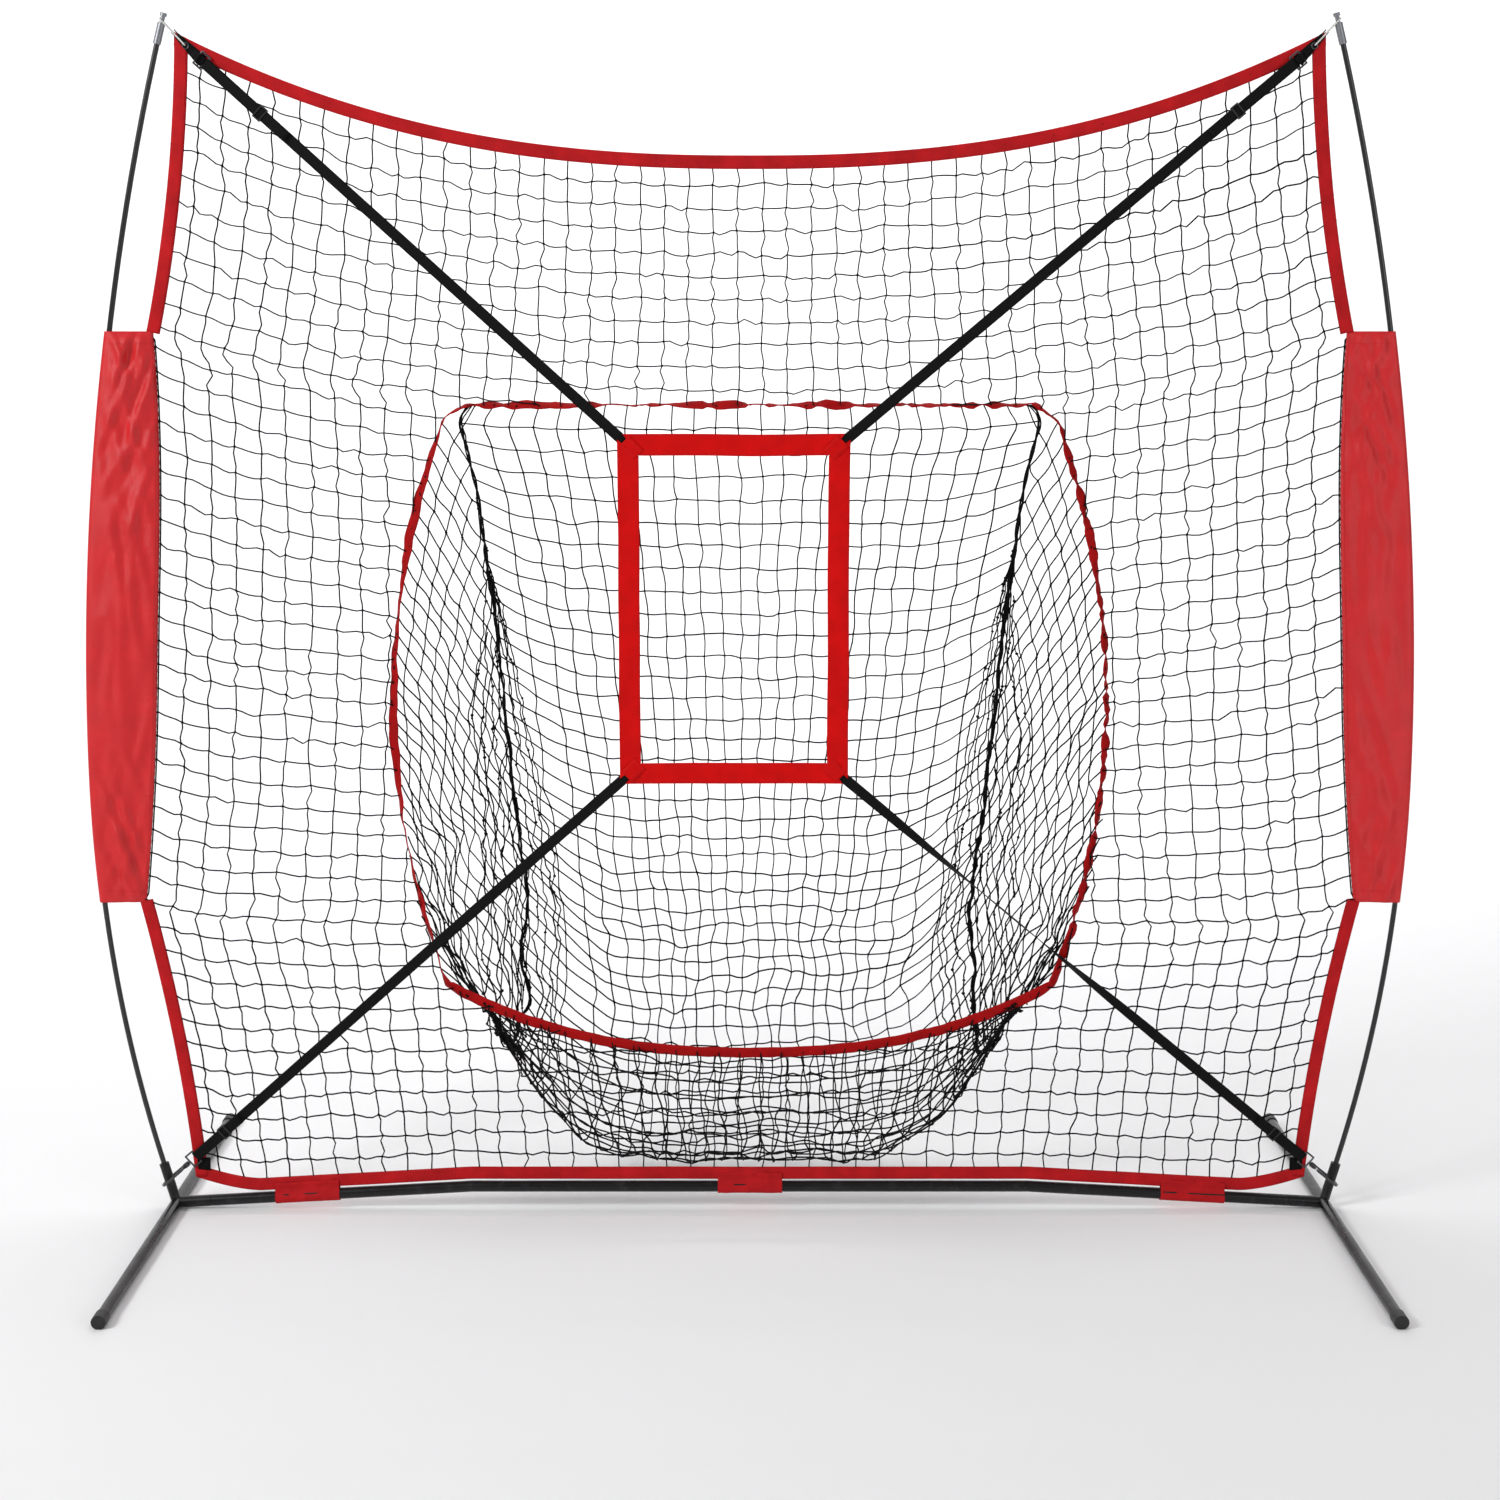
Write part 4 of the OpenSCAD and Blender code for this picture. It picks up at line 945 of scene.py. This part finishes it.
def sleeve_layer(seam, pole, z, t, a, end_fade, seed):
    """How far one layer of a sleeve stands off the middle plane."""
    flat = SLEEVE_GAP + (SLEEVE_WRAP - SLEEVE_GAP) * a[None, :] ** 1.7
    body = np.sin(math.pi * a) ** 0.8
    puff = 0.0045 * body[None, :] * (0.7 + 0.5 * np.sin(3.2 * t + seed))[:, None]
    width = (pole - seam)[:, None] * a[None, :]
    slope = 3.4 * (t - 0.45)[:, None]
    middle, z = z.mean(), z[:, None]
    across = width - 0.30 * slope * 0.35 * (z - middle)
    crease = 1 - np.abs(ripple(across / 0.030, (z + width * 0.8) / 0.19, seed)) * 2
    crease = np.maximum(crease, -0.3) * 0.0052
    diagonal = ripple((width * np.sign(slope) + z * 0.42) / 0.016, (z - width) / 0.14, seed + 1)
    strong = np.clip(np.abs(slope) - 0.35, 0, 1)
    pucker = np.sin(2 * math.pi * z / 0.013 + 2.5 * ripple(z / 0.05, 0 * z, seed + 2))
    pucker = pucker * np.exp(-width / 0.014) * 0.0010
    folds = (crease + diagonal * strong * 0.0085) * body[None, :]
    least = 0.0007 + 0.4 * (flat - SLEEVE_GAP)
    return np.maximum(flat + (puff + folds) * end_fade[:, None] + pucker, least)


def mouth_outline(count):
    """The mouth's edge in X and Z, from the middle of its top, round by the right side."""
    s = np.linspace(0, 1, 400)
    z = MOUTH_TOP_Z + (MOUTH_CORNER_Z - MOUTH_TOP_Z) * s**1.3
    side = stacked(mouth_half(z), z)
    u = np.linspace(0.98, -0.98, 200)
    low = stacked(MOUTH_LOW_HALF * u, mouth_low_z(u))
    top = stacked(np.linspace(0, side[0, 0] - 0.005, 60), MOUTH_TOP_Z)
    left = side[::-1] * [-1, 1]
    loop = np.vstack([top, side, low, left, top[::-1] * [-1, 1]])
    keep = np.concatenate([[True], np.linalg.norm(np.diff(loop, axis=0), axis=1) > 1e-6])
    return resampled(loop[keep], count + 1)[:-1]


def trim():
    """The tape round the mouth: wide and flat in places, and twisted edge-on in others."""
    path = mouth_outline(520)
    at = lengths(path)
    x, z = path[:, 0], path[:, 1]
    way = np.roll(path, -1, 0) - np.roll(path, 1, 0)
    way /= np.linalg.norm(way, axis=1)[:, None]
    left_of = stacked(-way[:, 1], way[:, 0])
    on_top = np.clip((z - MOUTH_TOP_Z + 0.05) / 0.04, 0, 1)
    on_low = np.clip((MOUTH_CORNER_Z + 0.03 - z) / 0.05, 0, 1)
    on_left = (x < 0) * (1 - on_top) * (1 - on_low)
    wide_left = np.exp(-((z - 1.33) / 0.10) ** 2) + np.exp(-((z - 0.93) / 0.11) ** 2)
    on_right = (x > 0) * (1 - on_top) * (1 - on_low)
    angle = math.radians(76) - 0.45 * on_right - 0.3 * on_top + ripple(at * 9, at * 0, 61) * 0.5
    flat = on_left * np.clip(wide_left, 0, 1) + on_low * 0.95
    angle = angle * (1 - flat) + 0.18 * flat
    crinkle = ripple(at * 55, at * 0, 62) * (0.12 + 0.7 * on_right + 0.45 * on_top)
    angle = angle + crinkle
    wave = ripple(at * 26, at * 0, 63) * 0.003 * (1 - 0.6 * on_low)
    centre = path + left_of * wave[:, None]
    v = np.linspace(-0.5, 0.5, 7) * TRIM_W
    cup = (1 - (2 * v / TRIM_W) ** 2) * 0.0015
    wide = 1 + 0.2 * on_low[:, None]
    inplane = v[None, :] * wide * np.cos(angle)[:, None] + cup[None, :] * np.sin(angle)[:, None]
    depth = v[None, :] * np.sin(angle)[:, None] - cup[None, :] * np.cos(angle)[:, None]
    depth = depth + ripple(at[:, None] * 60, v[None, :] * 90, 64) * 0.0009
    back = NET_Y + 0.002 + 0.35 * TRIM_W * np.abs(np.sin(angle))
    points = stacked(centre[:, :1] + left_of[:, :1] * inplane, back[:, None] + depth,
                     centre[:, 1:] + left_of[:, 1:] * inplane)
    build = Builder()
    build.grid(points, at, v[None, :] - v[0], close_u=True)
    stitches(build, points[:, 1], (0, -1, 0), pitch=0.0055)
    piece = build.piece("mouth_trim", "trim_cloth", replaces=["pocket_trim"], thread=RED_THREAD, solid=TRIM_T)


def tab(name, middle_x, slope, replaces=()):
    """A cloth sleeve round the crossbar, sewn up to the net's bottom edge."""
    x = np.linspace(-TAB_HALF, TAB_HALF, 60)
    turn = np.linspace(0, math.pi, 15)
    wrap = BAR_R + 0.0016
    rise = np.linspace(BOTTOM_ABOVE_BAR + 0.014, 0.002, 7)
    y = np.concatenate([np.interp(rise, [0, BOTTOM_ABOVE_BAR], [-wrap, -TAB_GAP]), -wrap * np.cos(turn),
                        np.interp(rise[::-1], [0, BOTTOM_ABOVE_BAR], [wrap, TAB_GAP])])
    z = np.concatenate([rise, -wrap * np.sin(turn), rise[::-1]])
    push = ripple(x[:, None] * 70, (z + y * 2)[None, :] * 55, abs(middle_x) + 71) * 0.0016
    push = push + ripple(x[:, None] * 16, z[None, :] * 8, middle_x + 75) * 0.0022
    room = np.clip((z[None, :] + 0.002) / 0.02, 0.05, 1)
    depth = y[None, :] + np.sign(y)[None, :] * np.maximum(push, -0.0006) * room
    local_z = z[None, :] + np.where(z[None, :] < -0.002, -1, 0) * np.maximum(push, 0) * 0.3
    lean = math.radians(slope)
    world_x = middle_x + x[:, None] * math.cos(lean) + local_z * math.sin(lean)
    world_z = float(bar_z(middle_x)) - x[:, None] * math.sin(lean) + local_z * math.cos(lean)
    points = stacked(world_x, NET_Y + depth, world_z)
    distance = girth(y, z)
    build = Builder()
    build.grid(points, x + TAB_HALF, distance[None, :])
    for column, way in ((2, -1), (len(y) - 3, 1)):
        stitches(build, points[1:-1, column], (0, way, 0))
    piece = build.piece(name, "binding_cloth", replaces=replaces, thread=RED_THREAD, solid=TAB_T)


def tabs():
    fall = math.degrees(math.atan((BAR_HIGH_Z - FOOT_Z) / (BASE_X - BAR_BEND_X)))
    tab("middle_bar_tab", 0.0, 0.0, ["bar_tabs"])
    for side, sign in SIDES.items():
        tab(f"{side}_bar_tab", sign * TAB_X, sign * fall)


def band(name, corners, replaces, seed):
    """One red band of the target: two plies folded at the long edges, mitred at its ends.
    corners are outer start, outer end, inner end and inner start, in X and Z."""
    outer_a, outer_b, inner_b, inner_a = (np.array(c, float) for c in corners)
    long_n = 90
    s = np.linspace(0, 1, long_n)[:, None, None]
    w = np.array([0, 0.02, 0.06, 0.2, 0.4, 0.6, 0.8, 0.94, 0.98, 1.0])[None, :, None]
    front = (1 - w) * ((1 - s) * outer_a + s * outer_b) + w * ((1 - s) * inner_a + s * inner_b)
    across = np.linalg.norm(front[long_n // 2, -1] - front[long_n // 2, 0])
    along = np.linalg.norm(outer_b - outer_a)
    u = np.linspace(0, along, long_n)
    w = w[0, :, 0]
    edge_round = np.sqrt(np.clip(1 - (2 * w - 1) ** 8, 0, 1))
    wobble = ripple(u[:, None] * 9, w[None, :] * 1.2, seed) * 0.0016
    wrinkle = ripple(u[:, None] * 60, w[None, :] * 3, seed + 1) * 0.0004
    half = BAND_HALF_T * edge_round[None, :]
    sway = ripple(u * 6, u * 0, seed + 2) * 0.0011
    direction = (inner_a + inner_b - outer_a - outer_b)
    direction = direction / np.linalg.norm(direction)
    flat = front + sway[:, None, None] * direction
    near = stacked(flat[..., 0], BAND_Y - half + wobble - wrinkle * edge_round, flat[..., 1])
    far = stacked(flat[..., 0], BAND_Y + half + wobble, flat[..., 1])
    points = np.concatenate([near, far[:, ::-1][:, 1:-1]], 1)
    distance = np.concatenate([w * across, (1 + (1 - w[::-1][1:-1])) * across])
    build = Builder()
    start = build.grid(points, u, distance[None, :], close_v=True)
    ring = points.shape[1]
    for end, flip in ((0, False), (long_n - 1, True)):
        close_end(build, start + end * ring, ring, flip)
    for column in (2, 7):
        stitches(build, near[2:-2, column], (0, -1, 0), off=0)
        stitches(build, far[2:-2, column], (0, 1, 0), off=0)
    piece = build.piece(name, "target_cloth", replaces=replaces, thread=RED_THREAD)


def close_end(build, first, count, flip):
    """Closes a flat end, whose vertices start at first, with quads between its two plies."""
    faces = []
    for k in range(count // 2):
        a, b = k, k + 1
        c, d = (count - b) % count, (count - a) % count
        corners = [i for n, i in enumerate((a, b, c, d)) if i not in (a, b, c, d)[:n]]
        if len(corners) < 3:
            continue
        if len(corners) == 3:
            corners = corners + corners[:1]
        faces.append(corners if flip else corners[::-1])
    faces = np.array(faces) + first - build.count
    build.add(np.zeros((0, 3)), faces, np.zeros((len(faces), 8)))


def target():
    left, right = TARGET_X - TARGET_W / 2, TARGET_X + TARGET_W / 2
    low, high = TARGET_LOW_Z, TARGET_LOW_Z + TARGET_H
    b, cut = BAND_W, BAND_CUT
    corners = {
        "top": [(left + cut, high), (right - cut, high), (right - b, high - b), (left + b, high - b)],
        "bottom": [(left + cut, low), (right - cut, low), (right - b, low + b), (left + b, low + b)],
        "left": [(left, high - cut), (left, low + cut), (left + b, low + b), (left + b, high - b)],
        "right": [(right, high - cut), (right, low + cut), (right - b, low + b), (right - b, high - b)],
    }
    for k, part in enumerate(corners):
        band(f"target_{part}_tape", corners[part], [f"target_{part}_band"], 81 + 3 * k)
    build = Builder()
    for x, x_in in ((left, 1), (right, -1)):
        for z, z_in in ((high, -1), (low, 1)):
            corner_fold(build, x, z, x_in, z_in)
    piece = build.piece("target_corner_folds", "target_cloth", thread=RED_THREAD, solid=0.0008)


def corner_fold(build, x, z, x_in, z_in):
    """A folded strip sewn over the mitre of one corner."""
    s = np.linspace(0, 1, 14)[:, None]
    w = np.linspace(-1, 1, 6)[None, :]
    reach = 0.013 + (BAND_W - 0.014) * s
    y = BAND_Y - 0.0017 + 0.0004 * w**2 + 0.0003 * np.sin(9 * s)
    points = stacked(x + x_in * (reach + FOLD_W / 2 * w), y, z + z_in * (reach - FOLD_W / 2 * w))
    if x_in * z_in > 0:
        points = points[:, ::-1]
    build.grid(points, np.linspace(0, 0.05, 14), np.linspace(0, 0.03, 6)[None, :])
    stitches(build, points[:, 1], (0, -1, 0))
    stitches(build, points[:, -2], (0, -1, 0))


# ---- Straps and small pieces ----


def strap_frame(x_side, z_side):
    """Origin, direction and length of a strap, from its ring bar to the target's corner."""
    over = STRAP_OVER_BAND
    corner = np.array([TARGET_X + x_side * (TARGET_W / 2 - over),
                       TARGET_LOW_Z + (TARGET_H - over if z_side > 0 else over)])
    if z_side > 0:
        start, offset = np.array([x_side * KEEPER_AT[0], KEEPER_AT[1]]), RING_LENGTH
    else:
        hook_x = BASE_X + (HOOK_Z - FOOT_Z) * math.tan(LEAN)
        start = np.array([x_side * hook_x, HOOK_Z])
        offset = RING_FROM_HOOK * math.cos(math.asin((NET_Y - RING_Y) / RING_FROM_HOOK))
    way = corner - start
    length = np.linalg.norm(way)
    way = way / length
    return start + way * offset, way, length - offset


def strap(name, x_side, z_side, tail, twist, replaces):
    """Webbing from the target round the ring bar and back to its sewn tail."""
    origin, way, length = strap_frame(x_side, z_side)
    across = np.array([-way[1], way[0]])
    ply = LOOP_R + STRAP_T / 2
    run = np.linspace(length, 0, 150)
    turn = turns(0.5, 1.5, 14)
    back = np.linspace(0, tail, 40)
    local_x = np.concatenate([run, ply * np.cos(turn), back])
    local_y = np.concatenate([np.full(len(run), ply), ply * np.sin(turn), np.full(len(back), -ply)])
    free = np.concatenate([np.clip((run - tail - 0.02) / 0.05, 0, 1) * np.clip((length - run) / 0.05, 0, 1),
                           np.zeros(len(turn) + len(back))])
    local_y = local_y + free * ripple(local_x * 5, local_x * 0, x_side * 3 + z_side) * 0.0010
    from_twist = (length - local_x - TWIST_FROM_TARGET) / TWIST_SPREAD
    angle = np.where(free > 0, twist * np.exp(-(from_twist**2)), 0)
    local_y = local_y - 0.006 * np.abs(np.sin(angle))
    v = np.linspace(-0.5, 0.5, 7) * STRAP_W
    bulge = (1 - (2 * v / STRAP_W) ** 6) * 0.00012
    flat_x = origin[0] + way[0] * local_x[:, None] + across[0] * v[None, :] * np.cos(angle)[:, None]
    flat_z = origin[1] + way[1] * local_x[:, None] + across[1] * v[None, :] * np.cos(angle)[:, None]
    depth = RING_Y + local_y[:, None] + v[None, :] * np.sin(angle)[:, None] + bulge[None, :]
    points = stacked(flat_x, depth, flat_z)
    at = lengths(points[:, 3])
    build = Builder()
    build.grid(points, at, (v - v[0])[None, :])
    sewn(build, points, len(points) - 3, len(points) - 2, -1)
    sewn(build, points, 1, 4, -1)
    piece = build.piece(name, "webbing", replaces=replaces, thread=BLACK_THREAD, solid=STRAP_T - 0.0001)


def sewn(build, points, first, last, way):
    """A box stitch across webbing, between two of its rows."""
    lift = np.array([0, way * (STRAP_T / 2), 0])
    for row in (first, last):
        stitches(build, points[row] + lift, (0, way, 0), pitch=0.003, radius=0.0004)
    for column in (1, 5):
        stitches(build, points[first:last + 1, column] + lift, (0, way, 0), pitch=0.003, radius=0.0004)


def straps():
    """The four straps. The lower right one is half twisted, as in the photo."""
    for part, z_side, tail in (("upper", 1, UPPER_TAIL), ("lower", -1, LOWER_TAIL)):
        for side, x_side in SIDES.items():
            twist = math.radians(90) if (part, side) == ("lower", "right") else 0.0
            strap(f"{part}_{side}_webbing", x_side, z_side, tail, twist, [f"{part}_{side}_strap"])


def patches():
    """Webbing patches on the net's corners with the upper ones' keepers, the eyelets and the cord ends."""
    build = Builder()
    start, tip = np.array(KEEPER_AT), np.array([TOP_HALF - 0.005, TOP_CORNER_Z - 0.006])
    out = (tip - start) / np.linalg.norm(tip - start)
    aside = np.array([-out[1], out[0]])
    for sign in (-1, 1):
        corners = [start - out * 0.010 - aside * 0.011, tip - aside * 0.005, tip + aside * 0.005,
                   start - out * 0.010 + aside * 0.011]
        patch(build, corners, sign)
        low_x, low_z = BOTTOM_HALF - 0.030, BOTTOM_CORNER_Z + 0.040
        corners = [(low_x, float(bottom_z(low_x)) + BINDING_W),
                   (BOTTOM_HALF - 0.006, BOTTOM_CORNER_Z + 0.016),
                   (float(side_x(low_z)) - 0.008, low_z), (low_x, low_z)]
        patch(build, corners, sign)
        keeper(build, sign)
    piece = build.piece("corner_webbing", "webbing", replaces=["corner_patches"], thread=BLACK_THREAD,
                        solid=PATCH_T)
    build = Builder()
    for sign in (-1, 1):
        for way in (-1, 1):
            turn = np.linspace(0, 2 * math.pi, 40, endpoint=False)
            ring = stacked(sign * CORNER_HOLE[0] + EYELET_R * np.cos(turn), NET_Y + way * 0.0046,
                           CORNER_HOLE[1] + EYELET_R * np.sin(turn))
            build.tube(ring, 0.0012, sides=8, closed=True)
    build.piece("corner_eyelets", "hook_metal")
    build = Builder()
    along = np.linspace(-0.014, 0.011, 7)
    depth = NET_Y - 0.0050 * np.cos(np.linspace(0, math.pi / 2, 7))
    for sign in (-1, 1):
        for way in (-1, 1):
            flat = tip + out * along[:, None] + aside * way * 0.0033
            build.tube(stacked(sign * flat[:, 0], depth, flat[:, 1]), CORD_END_R)
    build.piece("corner_cord_ends", "netting")


def patch(build, corners, sign):
    """One webbing patch between four corners in X and Z, on the net's front."""
    a, b, c, d = (np.array(p, float) * [sign, 1] for p in corners)
    s = np.linspace(0, 1, 10)[:, None, None]
    w = np.linspace(0, 1, 10)[None, :, None]
    flat = (1 - w) * ((1 - s) * a + s * b) + w * ((1 - s) * d + s * c)
    depth = PATCH_Y - PATCH_SWELL * np.sin(math.pi * s[..., 0]) * np.sin(math.pi * w[..., 0])
    points = stacked(flat[..., 0], depth, flat[..., 1])
    if sign < 0:
        points = points[:, ::-1]
    build.grid(points, np.linspace(0, 0.05, 10), np.linspace(0, 0.05, 10)[None, :])
    for line in (points[1], points[-2], points[:, 1], points[:, -2]):
        stitches(build, line + [0, -PATCH_SWELL, 0], (0, -1, 0), pitch=0.004)


def keeper(build, sign):
    """The short webbing loop that holds a strap's ring on its patch."""
    origin, way, _ = strap_frame(sign, 1)
    across = np.array([-way[1], way[0]])
    start = origin - way * RING_LENGTH
    turn = np.linspace(-math.pi / 2, math.pi / 2, 12)[::-1]
    rise = [0.0034, 0.0032, 0.0015]
    local_x = np.concatenate([[0.016, 0.010, 0.005], KEEPER_WRAP * np.sin(turn), [-0.002, -0.010, -0.016]])
    local_y = np.concatenate([rise, -KEEPER_WRAP * np.cos(turn) - 0.0002, rise[::-1]])
    v = np.linspace(-KEEPER_HALF, KEEPER_HALF, 6)
    points = stacked(start[0] + way[0] * local_x[:, None] + across[0] * v[None, :],
                     RING_Y + local_y[:, None],
                     start[1] + way[1] * local_x[:, None] + across[1] * v[None, :])
    build.grid(points, lengths(points[:, 3]), (v - v[0])[None, :])


def elastics():
    """Elastic loops from the pole caps' necks through the corner eyelets."""
    tip_angle = math.asin((TIP_Z - WIDE_Z) / UPPER_R)
    pole_end = np.array([float(pole_x(TIP_Z)), TIP_Z])
    neck = pole_end + NECK_ABOVE_TIP * np.array([-math.sin(tip_angle), math.cos(tip_angle)])
    way = np.array(CORNER_HOLE) - neck
    reach = np.linalg.norm(way)
    way = way / reach
    turn_r = ELASTIC_TURN_R
    span = reach - turn_r
    half_turn = np.linspace(0, math.pi, 13)
    run = np.linspace(0.002, span - 0.002, 24)
    x = np.concatenate([-turn_r * np.sin(half_turn), run, span + turn_r * np.sin(half_turn), run[::-1]])
    y = np.concatenate([turn_r * np.cos(half_turn), np.full(24, -turn_r), -turn_r * np.cos(half_turn),
                        np.full(24, turn_r)])
    build = Builder()
    for sign in (-1, 1):
        squeeze = 1 - 0.25 * np.sin(np.clip(x / span, 0, 1) * math.pi)
        path = stacked(sign * (neck[0] + way[0] * x), NET_Y + y * squeeze, neck[1] + way[1] * x)
        radius = ELASTIC_R * (1 + 0.06 * np.sin(np.arange(len(path)) * 2.4))
        build.tube(path, radius, sides=8, closed=True)
    build.piece("corner_elastic_loops", "elastic_cord", replaces=["corner_elastics"])


def finish_hard_pieces():
    """Gives every hard piece of the frame its slot's material."""
    slots = {part["node"]: part["material_slot"] for part in frame["record"]["subparts"]}
    for name, piece in NODES.items():
        piece.data.materials.clear()
        piece.data.materials.append(MATERIALS[slots[name]])


# ---- Stage ----

CAMERA_AWAY = 4.5
CAMERA_HIGH = 1.70
CAMERA_DOWN = 10
CAMERA_LENS = 58.2


def stage_piece(name, verts, faces, color):
    mesh = bpy.data.meshes.new(name)
    mesh.from_pydata(verts, [], faces)
    mesh.polygons.foreach_set("use_smooth", [True] * len(mesh.polygons))
    mesh.materials.append(fresh_material(name + "_paint", color, 0.8)[0])
    linked(name, mesh)


def backdrop():
    """A pale floor that curves up behind the net."""
    half, front, bend_y, bend_r, top = 14, -12, 5.0, 3.0, 9
    turn = np.linspace(0, math.pi / 2, 16)
    profile = [(front, 0), (bend_y, 0)]
    profile += [(bend_y + bend_r * math.sin(t), bend_r * (1 - math.cos(t))) for t in turn[1:]]
    profile.append((bend_y + bend_r, top))
    verts = [(x, y, z) for y, z in profile for x in (-half, half)]
    faces = [(2 * k, 2 * k + 1, 2 * k + 3, 2 * k + 2) for k in range(len(profile) - 1)]
    stage_piece("pale_floor", verts, faces, (0.88, 0.88, 0.89))


def area_light(name, place_at, aim, size, power):
    lamp = bpy.data.lights.new(name, "AREA")
    lamp.shape = "RECTANGLE"
    lamp.size, lamp.size_y = size
    lamp.energy = power
    made = linked(name, lamp)
    made.location = place_at
    made.rotation_euler = (Vector(aim) - Vector(place_at)).to_track_quat("-Z", "Y").to_euler()


def lights_and_camera():
    world = bpy.data.worlds.new("studio")
    world.use_nodes = True
    background = world.node_tree.nodes["Background"].inputs
    background["Color"].default_value = (1, 1, 1, 1)
    background["Strength"].default_value = 0.32
    bpy.context.scene.world = world
    area_light("key", (-4.6, -3.4, 4.4), (0, 0, 1.0), (1.6, 1.6), 235)
    area_light("fill", (4.0, -4.2, 2.4), (0, 0, 1.0), (2.5, 2.5), 70)
    area_light("top", (0, 1.2, 5.2), (0, 0.2, 0.8), (4.0, 2.0), 60)
    area_light("backdrop", (0, 3.2, 6.0), (0, 8.0, 2.2), (9.0, 2.0), 420)
    camera = bpy.data.cameras.new("camera")
    camera.lens = CAMERA_LENS
    made = linked("camera", camera)
    made.location = (0, NET_Y - CAMERA_AWAY, CAMERA_HIGH)
    made.rotation_euler = (math.radians(90 - CAMERA_DOWN), 0, 0)
    bpy.context.scene.camera = made
    bpy.context.scene.view_settings.view_transform = "Standard"


lights_and_camera()
finish_hard_pieces()
front_net()
pocket_back()
for side_name in SIDES:
    pocket_side(side_name)
bindings()
for side_name in SIDES:
    sleeve(side_name)
trim()
tabs()
target()
straps()
patches()
elastics()
backdrop()
